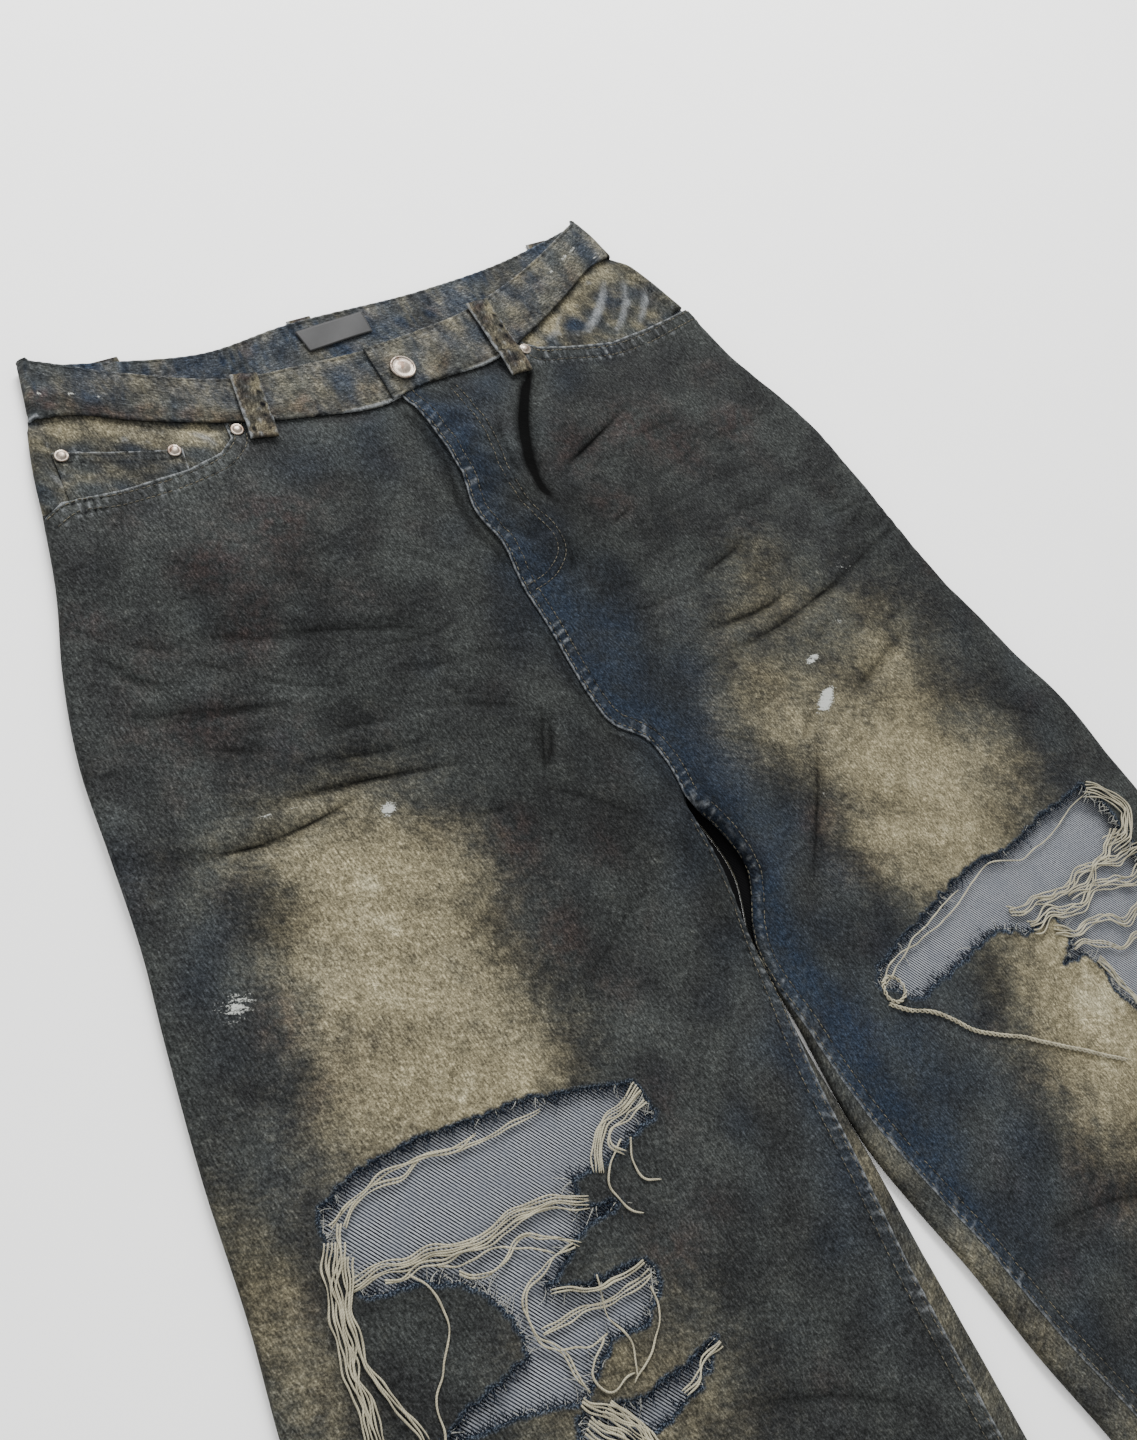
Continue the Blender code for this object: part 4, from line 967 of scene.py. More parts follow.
def sewn_edge(x, y, line, width, rows, rise, seed, edge, sign, teeth=0.0):
    """Lift, and wear with painted shade, of a lapped and stitched edge: puckered ridges between grooves
    under the thread, the grooves and pucker hollows darkened as painted shade.
    """
    place, off = along_line(x, y, line)
    off = off * sign
    rhythm = place / 7.4 + 0.5 * ripple(place, off * 0.2, 38, seed)
    pucker = np.sin(2 * math.pi * (rhythm + off * 0.05)) * (0.6 + 0.4 * ripple(place, 0 * off, 30, seed + 1))
    on_lap = ease((off + 1.5) / 1.5) * (1 - ease((off - width + 0.8) / 2.0))
    beyond = ease((off + 1) / 2) * (1 - ease((off - width - 1) / 7))
    groove = sum(bell(off - row, 1.1) for row in rows)
    between = bell(off - sum(rows) / len(rows), 2.2)
    tooth = np.sin(2 * math.pi * (place / 5.0 + 0.3 * ripple(place, 0 * off, 22, seed + 2)))
    tooth = tooth * between * teeth
    lift = rise * on_lap + 0.34 * pucker * (0.5 * beyond + 0.55 * on_lap)
    lift = lift - (0.3 + 0.25 * teeth) * groove * beyond + 0.4 * tooth
    # plus is wear on the puckers' crests; minus is painted shade in their hollows and in the stitch grooves
    edge_wear_and_shade = on_lap * (0.3 + 0.4 * pucker) + 0.24 * (beyond - on_lap) * pucker - 0.75 * groove * beyond
    edge_wear_and_shade = edge_wear_and_shade + edge * bell(off, 1.2) * (0.7 + 0.3 * pucker) + 0.7 * tooth
    return lift, np.clip(edge_wear_and_shade, -1, 1)


def strongest(a, b):
    """Of two wear values, the one further from nothing."""
    return np.where(np.abs(a) > np.abs(b), a, b)


def band_height(x):
    """Height of the front of the waistband, without the overlap."""
    away = np.minimum(x - BAND_CORNER[-1][0][0], BAND_CORNER[1][0][0] - x)
    return BAND_HIGH + 3.4 * (1 - ease((away - OUTER_TURN) / EDGE_REACH))


def overlap_lift(x):
    """How far the overlapping end of the waistband lies over the other end."""
    return OVERLAP_RISE * (1 - ease((x - UNDERLAP_END - 6) / 34))


def under_band(side, x, y, spots, gap=0.15):
    """Draws cloth down under the waistband's lower edge."""
    target = band_height(x) - WAISTBAND / 2 - DENIM / 2 - gap
    if side > 0:
        target = target + overlap_lift(x)
    share = 1 - ease((front_bottom(x) - y - 1.5) / 12)
    spots[:, 2] += (np.minimum(spots[:, 2], target) - spots[:, 2]) * share
    return spots


def seam_lines(side):
    """The sewn edges of a front panel: line, sign of its inner side, width, stitch rows, rise, teeth."""
    ys = np.concatenate([[CROTCH[1] - 13], steps(CROTCH[1] - 20, HEM_Y, 12)])
    lines = {
        "inseam": (pairs(front_inseam(side, ys), ys), side, LAP_WIDTH, (1.8, 8.0), 0.6, 0.2),
        "hem": (np.array([(x, HEM_Y) for x in steps(-420, 420, 30)]), 1, HEM_WIDTH, (15.5,), 0.45, 0.0),
        "mouth": (np.array(POCKET_MOUTH[side]), side, POCKET_HEM, (2.2, 9.2), 0.9, 1.0),
    }
    if side > 0:
        ys = steps(-86, CROTCH[1], 8)
        lines["fly"] = (pairs(fly_line(ys), ys), 1, LAP_WIDTH, (2.0, 8.4), 0.7, 0.35)
        lines["flap"] = (np.array(smooth_path(J_STITCH, 6)), 1, 1.0, (-2.6, 2.6), 0.0, 0.0)
    return lines


def front_detail(side, x, y):
    """Lift and fields of a front panel at flat points."""
    fields = tone_fields(x, y)
    lift = np.zeros(np.shape(x))
    for k, (name, (line, sign, width, rows, rise, teeth)) in enumerate(seam_lines(side).items()):
        high, edge_wear_and_shade = sewn_edge(x, y, line, width, rows, rise, 40 + 10 * k + side,
                               edge=0 if name == "flap" else 0.8, sign=sign, teeth=teeth)
        if name == "inseam":
            share = crotch_share(y)
        elif name == "fly":
            share = ease((y - CROTCH[1]) / 20 + 1)
        elif name == "flap":
            share = 0.8 * (y > -250)
        else:
            share = 1.0
        lift = lift + high * share
        fields["worn"] = strongest(fields["worn"], edge_wear_and_shade * share)
    if side > 0:
        inside = x - fly_line(y)
        ending = ease((y - FLY_END + 12) / 25)
        flap = ending * (1 - ease((inside - FLAP_WIDTH) / 25))
        crumple = ripple(x, y, 15, 45) * flap
        lift = lift + FLAP_RISE * flap + 0.45 * crumple + 0.5 * flap * bell(inside - 5, 5)
        # painted shade and highlight following the flap's crumples
        fields["shade"] = fields["shade"] + 0.16 * crumple
        fields["navy"] = np.clip(fields["navy"] + 0.6 * bell(inside - 4, 12), 0, 1)
    else:
        over = ease((x - fly_line(y) + 5) / 4)
        lift = lift - 1.3 * over * ease((FLY_END - y) / 8)
    for rip in RIPS[side]:
        _, off = along_line(x, y, torn(rip), closed=True)
        off = np.abs(off)
        fields["fray"] = np.maximum(fields["fray"], bell(off, 3.4))
        curl = 0.55 + 0.5 * ripple(x, y, 16, 71)
        lift = lift + bell(off, 4.5) * curl
    lift = lift + 0.9 * bell(along_line(x, y, POCKET_MOUTH[side])[1], 9) * (side > 0)
    # painted shade along the hollows beside folds and seams
    for line, half, depth in HOLLOWS:
        place, off = along_line(x, y, line)
        length = np.sum(np.linalg.norm(np.diff(line, axis=0), axis=1))
        ends = ease(place / 12) * ease((length - place) / 12)
        fields["shade"] = fields["shade"] - depth * bell(off, half) * ends
    # painted shade and highlight: darker in the hollows of creases and crumples, lighter on their crests
    fields["shade"] = fields["shade"] + crease_shade_and_highlight(x, y) + 0.09 * whiskers(x, y)
    return lift, fields


TORN = {}


def torn(rip):
    """The uneven edge of a rip."""
    if rip not in TORN:
        ring = through(rip, 1.5, closed=True)
        line = beside(np.vstack([ring[-1:], ring, ring[:1]]), 1.0)[1:-1] - ring
        wander = 0.8 * ripple(ring[:, 0], ring[:, 1], 7, 61) + 0.5 * ripple(ring[:, 0], ring[:, 1], 3.2, 62)
        TORN[rip] = ring + line * wander[:, None]
    return TORN[rip]


SEAM_STEPS = {"inseam": 2.2, "hem": 4.0, "mouth": 1.25, "fly": 1.6, "flap": 2.2}


def make_front(side, name, step):
    """A front leg panel: a thin shell with its folds, laps, creases and rips."""
    line_steps = graded(CROTCH[1] - 13, HEM_Y, 2.4, 5)
    inner = pairs(front_inseam(side, line_steps, 0.1), line_steps)
    hem_x = steps(inner[-1][0], side_seam(side, HEM_Y), 4)[1:-1]
    hem = pairs(hem_x, np.full(len(hem_x), HEM_Y))
    ys = graded(HEM_Y, POCKET_MOUTH[side][0][1] - 1, 2.4, 5)
    outer = pairs(side_seam(side, ys), ys)
    mouth = through(POCKET_MOUTH[side][1:], 1.6)
    last = fly_line(-90) + (SEAM_GAP / 2 if side > 0 else FLY_UNDER)
    top_x = steps(mouth[-1][0] + side * -2, last, 2.4)
    mouth[-1, 1] = front_bottom(mouth[-1, 0]) + 3
    top = pairs(top_x, front_bottom(top_x) + 4)
    ys = steps(-90 + 5, CROTCH[1], 1.8)
    if side > 0:
        centre = pairs(fly_line(ys) + 0.1, ys)
    else:
        upper, lower = ys[ys > FLY_END], ys[ys <= FLY_END]
        centre = np.vstack([pairs(fly_line(upper) + FLY_UNDER, upper),
                            pairs(fly_line(lower) + 5.0, lower)])
    top = top[np.abs(top[:, 0] - centre[0, 0]) > 1.5]
    outline = np.vstack([inner, hem, outer, mouth, top, centre])
    holes = [torn(rip) for rip in RIPS[side]]
    xs = outline[:, 0]
    rows = []
    for name_of, (line, sign, width, stitch_rows, _, _) in seam_lines(side).items():
        fine_line = through(line, SEAM_STEPS[name_of])
        for off in {0.9, width - 1.2, width + 1.2, width + 4, *[r - 1.2 for r in stitch_rows],
                    *stitch_rows, *[r + 1.2 for r in stitch_rows]}:
            rows.append(beside(fine_line, sign * off))
    ring_ys = graded(HEM_Y, -100, 2.6, 5)
    for turn in (0, 0.8, 1.6, 2.6, 3.6, 4.6, 5.6):
        rows.append(pairs(outer_turn(side, ring_ys) + side * turn, ring_ys))
        below = ring_ys[ring_ys < CROTCH[1]]
        rows.append(pairs(inner_turn(side, below) - side * turn, below))
    close = []
    for hole in holes:
        low, high = hole.min(0) - 7, hole.max(0) + 7
        patch = cover(low[0], high[0], low[1], high[1], 1.5)
        off = np.abs(along_line(patch[:, 0], patch[:, 1], hole, closed=True)[1])
        close.append(patch[off < 6])
    sharp = crease_points(FINE_CREASES, 2.4, (-1, -0.45, 0, 0.45, 1))
    sharp = np.vstack([sharp, crease_points(CREASES, 2.6, (-0.5, -0.2, 0, 0.2, 0.5))])
    rows.append(crease_points(CREASES, 3, (-1, 1)))
    wide = np.vstack([cover(xs.min(), xs.max(), OUT_OF_VIEW, -60, step),
                      cover(xs.min(), xs.max(), HEM_Y, OUT_OF_VIEW, 5.5)])
    groups = ((np.vstack(rows), 0.42), (np.vstack(close), 0.5), (sharp, 0.38), (wide, 0.85))
    flat, faces = fill(outline, holes, groups, step)
    x, y = flat.T
    lift, fields = front_detail(side, x, y)
    spots = under_band(side, x, y, place_front(side, x, y, lift))
    return denim_shell(name, spots, faces, flat, fields)


# Backs, yokes, pockets


def make_back(side, name, step):
    """A back leg panel: on the surface, round both sides, and over the front as far as the inseam."""
    ys = graded(CROTCH[1] - 13, HEM_Y, 3, 6)
    inner = pairs(back_inseam(side, ys, LAP_WIDTH - 2), ys)
    hem_x = steps(inner[-1][0], side_seam(side, HEM_Y), 6)[1:-1]
    hem = pairs(hem_x, np.full(len(hem_x), HEM_Y))
    ys = graded(HEM_Y, yoke_seam(side * 225), 3, 6)
    outer = pairs(side_seam(side, ys), ys)
    end = seat_line(-118) + side * 0.2
    xs = steps(side * 221, end, 6)
    top = pairs(xs, yoke_seam(xs) - 0.3)
    ys = steps(-122, CROTCH[1], 6)
    seat = pairs(seat_line(ys) + side * 0.2, ys)
    outline = np.vstack([inner, hem, outer, top, seat])
    low_x, high_x = outline[:, 0].min(), outline[:, 0].max()
    rows = []
    ring_ys = graded(HEM_Y, -100, 3, 6)
    for turn in (0, 1.6, 3.2, 4.8, 6.2):
        rows.append(pairs(outer_turn(side, ring_ys) + side * turn, ring_ys))
    below = ring_ys[ring_ys < GAP_END[0]]
    for turn in (0, 1.6, 3.2, 4.8, 6.4, 8, 9.6, 11, 13, 15.4, 18, 21):
        rows.append(pairs(inner_turn(side, below) - side * turn, below))
    near = []
    for rip in RIPS[side]:
        low, high = np.min(rip, 0) - 12, np.max(rip, 0) + 12
        near.append(cover(low[0], high[0], low[1], high[1], step))
    wide = cover(low_x, high_x, HEM_Y, -90, 6.5)
    flat, faces = fill(outline, [], ((np.vstack(rows), 0.5), (np.vstack(near), 0.8), (wide, 1.2)), step)
    x, y = flat.T
    lift = 0.3 * np.clip(ripple(x, y, 26, 81), -1, 1) * (y > -700)
    spots = place_back(side, x, y, np.maximum(lift, 0))
    # painted shade: the gap between the legs below the crotch, which the weft-side finish turns near black
    gap = np.exp(-(((x - 14) / 30) ** 4)) * ease((y + 520) / 20) * ease((-380 - y) / 8)
    fields = {"fade": 0.2 + 0.1 * ripple(x, y, 70, 82), "shade": 0.15 + 0.1 * ripple(x, y, 40, 83) + gap}
    return denim_shell(name, spots, faces[:, ::-1], flat, fields)


def yoke_seam(x):
    """The slanted seam between yoke and back panel."""
    return -116 + 34 * np.abs(x - seat_line(-110)) / 225


def make_yoke(side, name):
    """The piece between the waistband and the back panel."""
    end = seat_line(-80) + side * 0.2
    xs = steps(end, side * 221, 5)
    low = pairs(xs, yoke_seam(xs))
    ys = steps(-84, -40, 4)[1:]
    outer = pairs(side_seam(side, ys), ys)
    xs = steps(side * 206, end, 5)
    high = pairs(xs, back_bottom(xs) + 3)
    ring_ys = steps(-84, -40, 4)
    rows = [pairs(outer_turn(side, ring_ys) + side * turn, ring_ys) for turn in (0, 1.6, 3.2, 4.8)]
    wide = cover(-230, 240, -120, -40, 6)
    flat, faces = fill(np.vstack([low, outer, high]), [], ((np.vstack(rows), 0.5), (wide, 1.0)), 4)
    x, y = flat.T
    spots = place_back(side, x, y)
    fields = {"fade": 0.1 + 0 * x, "shade": 0.1 * ripple(x, y, 30, 85)}
    return denim_shell(name, spots, faces[:, ::-1], flat, fields)


def make_back_pocket(side, name):
    """A plain five-sided patch on the seat, under the back panel."""
    x = side * 112
    corners = [(x - 78, -128), (x + 78, -128), (x + 74, -262), (x, -286), (x - 74, -262)]
    outline = through(corners, 5, closed=True)
    flat, faces = fill(outline, [], ((cover(x - 80, x + 80, -290, -120, 6), 1.0),), 4)
    spots = np.column_stack([flat, np.full(len(flat), 0.5)])
    fields = {"fade": 0.2 + 0.1 * ripple(*flat.T, 40, 86), "shade": 0.15 * ripple(*flat.T, 30, 87)}
    return add_mesh(name, spots, oriented(flat, faces, -1), [finish("face")], flat, fields, wall=1.0)


def oriented(flat, faces, way):
    """Faces turned so that in plan they run anticlockwise (1) or clockwise (-1)."""
    a, b, c = (flat[faces[:, k], :2] for k in range(3))
    area = (b[:, 0] - a[:, 0]) * (c[:, 1] - a[:, 1]) - (b[:, 1] - a[:, 1]) * (c[:, 0] - a[:, 0])
    faces = faces.copy()
    turned = area * way < 0
    faces[turned] = faces[turned][:, ::-1]
    return faces


def under_front(side, x, y, drop, lift):
    """Places points under the front cloth; at the side they come up to the garment's own fold."""
    inside = side * (outer_turn(side, y) - x)
    spots = place_front(side, x, y, lift - drop * ease(inside / 6))
    return under_band(side, x, y, spots, gap=0.5 * drop)


def make_facing(side, name):
    """The side piece behind the pocket mouth."""
    end_x, end_y = POCKET_MOUTH[side][0]
    stop = end_y + 3.5
    ys = steps(-40, stop, 2.4)
    outer = pairs(side_seam(side, ys), ys)
    low = [(end_x - side * 9, stop - 1), (end_x - side * 12, stop - 3), (side * 208, -140),
           (side * 168, -150), (side * 112, -142), (side * 92, -110)]
    xs = steps(side * 92, side * 206, 2.4)
    high = pairs(xs, front_bottom(xs) + 4)
    outline = np.vstack([outer, through(low, 3), high])
    ring_ys = steps(-46, stop, 2.4)
    rows = [pairs(outer_turn(side, ring_ys) + side * turn, ring_ys)
            for turn in (-5, -3, 0, 1.3, 2.6, 4, 5.2)]
    wide = cover(-250, 260, -152, -34, 2.4)
    flat, faces = fill(outline, [], ((np.vstack(rows), 0.5), (wide, 0.85)), 2.4)
    x, y = flat.T
    fields = tone_fields(x, y)
    fields["navy"] = 0.25 + 0.3 * ripple(x, y, 26, 91)
    fields["fade"] = 0.18 + 0.16 * ripple(x, y, 17, 92) + 0.35 * bell(y - front_bottom(x) + 8, 8)
    crumple = crease_height(x, y, FACING_CREASES[side])
    lift = 0.25 * ripple(x, y, 24, 93) + crumple
    # lighter on the crumples' crests: partly wear, partly painted highlight
    fields["worn"] = np.clip(crumple * 0.9, 0, 1) + 0.5 * np.clip(ripple(x, y, 9, 94) - 0.9, 0, 1)
    spots = under_front(side, x, y, FACING_DROP, np.clip(lift, -0.6, 0.9))
    return add_mesh(name, spots, oriented(flat, faces, 1), [finish("face")], flat, fields, wall=1.0)


# Small crumples of the pocket facings, in the columns of the creases
FACING_CREASES = {
    -1: ((-214, -66, -206, -88, 1, 2.5, 0.6), (-130, -66, -118, -84, 2, 3, 0.7)),
    1: ((196, -46, 150, -84, 5, 3.5, 1.0), (210, -50, 176, -90, 4, 3.5, 0.9),
        (222, -60, 196, -90, 3, 3, 0.8), (150, -60, 122, -80, 3, 3, 0.8),
        (186, -46, 132, -74, 4, 3, -0.8), (204, -58, 168, -86, 3, 3, -0.7)),
}


def coin_detail(x, y):
    """Lift and fields of the coin pocket."""
    lift, edge_wear_and_shade = sewn_edge(x, y, COIN_POCKET, 7.0, (1.8, 6.2), 0.15, 95, edge=0.7, sign=-1)
    fields = tone_fields(x, y)
    fields["fade"] = 0.16 + 0.14 * ripple(x, y, 15, 96)
    fields["navy"] = 0.2 + 0.2 * ripple(x, y, 24, 97)
    fields["worn"] = edge_wear_and_shade
    return lift + 0.2 * ripple(x, y, 18, 98), fields


def make_coin_pocket(name):
    """The small pocket on the wearer's right facing."""
    outline = through(COIN_POCKET, 1.6, closed=True)
    rows = [beside(through(COIN_POCKET, 1.6), -off) for off in (0.7, 1.8, 2.9, 5, 6.2, 7.4)]
    flat, faces = fill(outline, [], ((np.vstack(rows), 0.5), (cover(-215, -130, -140, -50, 2.0), 0.85)), 2.0)
    x, y = flat.T
    lift, fields = coin_detail(x, y)
    spots = under_front(-1, x, y, COIN_DROP, lift)
    return add_mesh(name, spots, oriented(flat, faces, 1), [finish("face")], flat, fields, wall=0.9)


# Ribbons: waistband, belt loops, zip tape


def unit(vectors):
    """Vectors at length 1."""
    return vectors / np.linalg.norm(vectors, axis=-1, keepdims=True)


class Ribbon:
    """A strip of folded cloth between two long edges, with rounded sides."""

    def __init__(self, upper, lower, outward, wall, rows, lift=None):
        self.upper, self.lower = np.asarray(upper, float), np.asarray(lower, float)
        self.wall, self.rows = wall, np.asarray(rows, float)
        middle_line = (self.upper + self.lower) / 2
        self.run = np.concatenate([[0], np.cumsum(np.linalg.norm(np.diff(middle_line, axis=0), axis=1))])
        self.across = unit(self.lower - self.upper)
        self.width = np.linalg.norm(self.lower - self.upper, axis=1)
        self.outward = unit(np.asarray(outward, float))
        self.lift = lift or (lambda s, v: 0.0 * s)

    def spots(self, index, across, out):
        """Points on the outer (1) or inner (-1) face: section number and share across."""
        index = np.asarray(index, float)
        low = np.clip(np.floor(index).astype(int), 0, len(self.run) - 2)
        t = (index - low)[..., None]

        def between(rows):
            return rows[low] * (1 - t) + rows[low + 1] * t

        width = between(self.width[:, None])[..., 0]
        place = between(self.run[:, None])[..., 0]
        v = across * width
        round_edge = self.wall / 2
        near = np.clip(np.minimum(v, width - v) / round_edge, 0, 1)
        high = round_edge * np.sqrt(1 - (1 - near) ** 2)
        lifted = self.lift(place, v) * (1 if out > 0 else 0.5)
        return (between(self.upper) + between(self.across) * v[..., None]
                + between(self.outward) * (out * high + lifted)[..., None])

    def build(self, name, finish_name, fields):
        """The strip as a closed mesh; fields works out the named fields from place, share, face."""
        n, rows = len(self.run), self.rows
        ring = np.concatenate([rows, rows[-2:0:-1]])
        face_of = np.concatenate([np.ones(len(rows)), -np.ones(len(rows) - 2)])
        index = np.repeat(np.arange(n), len(ring))
        across, out = np.tile(ring, n), np.tile(face_of, n)
        spots = np.where((out > 0)[:, None], self.spots(index, across, 1), self.spots(index, across, -1))
        m = len(ring)
        i, k = np.meshgrid(np.arange(n - 1), np.arange(m), indexing="ij")
        a, b = (i * m + k).ravel(), (i * m + (k + 1) % m).ravel()
        faces = np.stack([a, b, b + m, a + m], 1).tolist()
        faces.append(list(range(m))[::-1])
        faces.append(list(range((n - 1) * m, n * m)))
        place = self.run[index]
        width = self.width[index]
        flat = pairs(np.where(out > 0, across, 2.2 - across) * width, place)
        tones = fields(place, across * width, out, spots)
        return add_mesh(name, spots, faces, [finish(finish_name)], flat, tones)


BAND_ROWS = (0, 0.018, 0.04, 0.065, 0.09, 0.13, 0.2, 0.28, 0.36, 0.44, 0.52, 0.6, 0.68, 0.76, 0.83, 0.88,
             0.915, 0.94, 0.965, 0.985, 1)
BAND_STITCH = (0.055, 0.925)


def low_x(x):
    """Where a line across the waistband from x on its top edge meets its bottom edge."""
    tops = [BAND_CORNER[side][0][0] for side in (-1, 1)]
    lows = [BAND_CORNER[side][1][0] for side in (-1, 1)]
    return lows[0] + (x - tops[0]) * (lows[1] - lows[0]) / (tops[1] - tops[0])


def band_line():
    """The waistband's sections: upper and lower edge and the way out, from underlap to overlap."""
    left_x, right_x = BAND_CORNER[-1][0][0] + 6, BAND_CORNER[1][0][0] - 6
    upper, lower, outward = [], [], []

    def add(top, bottom, out):
        upper.append(top)
        lower.append(bottom)
        outward.append(out)

    for x in steps(UNDERLAP_END, left_x, 1.7):
        z = band_height(x)
        add((x, front_top(x), z), (low_x(x), front_bottom(low_x(x)), z), (0, 0, 1))
    for side, turns in ((-1, (0, 180)), (1, (180, 0))):
        (top_x, top_y), (bottom_x, bottom_y) = BAND_CORNER[side]
        half = (band_height(top_x) - BAND_LOW) / 2
        inset = OUTER_TURN + WAISTBAND / 2
        for degrees in steps(*turns, 12):
            angle = math.radians(degrees)
            shift = side * (OUTER_TURN * math.sin(angle) - inset)
            z = BAND_LOW + half * (1 + math.cos(angle))
            add((top_x + shift, top_y, z), (bottom_x + shift, bottom_y, z),
                (side * math.sin(angle), 0, math.cos(angle)))
        if side < 0:
            for x in steps(left_x, right_x, 1.7):
                add((x, back_top(x), BAND_LOW), (low_x(x), back_bottom(low_x(x)), BAND_LOW), (0, 0, -1))
    for x in steps(right_x, OVERLAP_END, 1.7):
        z = band_height(x) + overlap_lift(x)
        add((x, front_top(x), z), (low_x(x), front_bottom(low_x(x)), z), (0, 0, 1))
    return np.array(upper), np.array(lower), np.array(outward)


def band_lift(s, v):
    """Puckers along the waistband's two edges, a groove inside each, and soft waves between them."""
    total = 0.3 * ripple(s, v, 30, 101) * np.sin(np.pi * np.clip(v / BAND_WIDTH, 0, 1))
    for edge, row, seed in ((0.0, BAND_STITCH[0], 102), (BAND_WIDTH, BAND_STITCH[1], 103)):
        off = np.abs(v - edge)
        rhythm = s / 6.6 + 0.4 * ripple(s, 0 * s, 30, seed)
        total = total + 0.32 * np.sin(2 * np.pi * rhythm) * bell(off, 4.5)
        total = total - 0.4 * bell(v - row * BAND_WIDTH, 1.0)
    return total


def band_fields(s, v, out, spots):
    """Tones of the waistband: blotched grey-blue, worn edges, painted shade in the stitch grooves, rows of
    dark spots between the puckers.
    """
    x, y, z = spots.T
    back = z < BAND_HIGH - 0.8
    inside_back = (out < 0) & back
    rhythm = np.sin(2 * np.pi * (s / 6.6 + 0.4 * ripple(s, 0 * s, 30, 102)))
    top, bottom = bell(v, 1.5), bell(BAND_WIDTH - v, 1.3)
    groove = sum(bell(v - row * BAND_WIDTH, 0.9) for row in BAND_STITCH)
    # wear on the edges, and painted shade in the stitch grooves
    worn = 0.7 * top * (0.6 + 0.4 * rhythm) + 1.0 * bottom - 0.55 * groove
    worn = worn + 0.4 * np.clip(rhythm, -0.4, 1) * bell(v - 4, 3)
    worn = worn + 0.3 * rhythm * bell(v - 34, 4)
    dark = np.zeros(np.shape(s))
    for row_v, shift, reach in ((8.5, 0.0, 4.5), (19.5, 0.5, 5.0), (31.0, 0.2, 4.0)):
        beat = np.cos(2 * np.pi * (s / 9.0 + shift + 0.45 * ripple(s, 0.4 * v, 26, 104)))
        strength = 0.75 + 0.5 * ripple(s, v, 44, 105)
        dark = dark + np.clip(beat - 0.05, 0, 1) * np.clip(strength, 0, 1.3) * bell(v - row_v, reach)
    dark = dark * np.where(inside_back, 1.0, 0.5)
    flow = ripple(s * 0.28, v, 7, 107)
    low_zone = bell(v - 29, 6) * (out > 0) * (1 - 0.7 * ease((x + 90) / 60))
    return {
        "fade": 0.12 + 0.1 * ripple(s, v, 30, 106) + 0.12 * (1 - ease((-x - 120) / 60)) * (out > 0),
        "shade": 0.45 + 0.26 * flow - 0.75 * dark - 0.35 * low_zone + 0.15 * inside_back,
        "navy": np.clip(0.45 + 0.25 * ripple(s, v, 40, 108) + 0.8 * dark - 0.4 * low_zone, 0, 1),
        "plum": np.clip(0.1 + 0.3 * ripple(s, v, 24, 109) + 0.7 * low_zone, 0, 1),
        "worn": np.clip(worn, -1, 1),
        "scar": np.clip(blobs(x, y, BAND_SCARS), 0, 1) * (out > 0) * (z > BAND_HIGH - 1),
    }


# White dashes on the waistband where the edge has been scuffed: x, y, half width, half length, turn, amount
BAND_SCARS = (
    (-196, -22, 5, 1.6, -16, 1.0), (-180, -26, 4, 1.3, -16, 0.9), (-165, -32, 3, 1.1, -20, 0.8),
    (-143, -40, 6, 1.2, -20, 1.0), (-207, -26, 3, 1.5, 0, 0.8), (176, -22, 6, 1.3, 24, 1.0),
    (186, -18, 5, 1.3, 24, 0.9), (160, -30, 4, 1.2, 22, 0.8), (198, -30, 5, 1.1, 15, 0.8),
)


def make_waistband(name):
    """One strip folded round both sides, its ends lapped at the middle front; the outer face is out."""
    upper, lower, outward = band_line()
    band = Ribbon(upper, lower, outward, WAISTBAND, BAND_ROWS, band_lift)
    return band.build(name, "face", band_fields)


LOOP_ROWS = (0, 0.03, 0.08, 0.16, 0.24, 0.32, 0.4, 0.5, 0.6, 0.68, 0.76, 0.84, 0.92, 0.97, 1)
FRONT_LOOPS = {
    "belt_loop_front_right": ((-82, -43), (-92, -88)),
    "belt_loop_front_left": ((91, -38), (90, -98)),
}
BACK_LOOPS = {"belt_loop_back_right": -150, "belt_loop_back_middle": -26, "belt_loop_back_left": 168}


def loop_fields(s, v, out, spots):
    """Tones of a belt loop: brownish, with a pale worn line along each edge and a dark line of painted shade
    in the stitch groove beside it.
    """
    pale = bell(v, 1.6) + 0.6 * bell(LOOP_WIDTH - v, 1.2)
    grooves = bell(v - 3.6, 1.0) + bell(LOOP_WIDTH - 3.6 - v, 1.0)
    return {
        "fade": 0.3 + 0.15 * ripple(s, v, 14, 111), "shade": 0.1 * ripple(s, v, 10, 112),
        "plum": np.clip(0.6 + 0.3 * ripple(s, v, 20, 113), 0, 1), "navy": 0 * s,
        "worn": np.clip(0.85 * pale - 0.5 * grooves + 0.3 * ripple(s, v, 6, 114), -1, 1),
    }


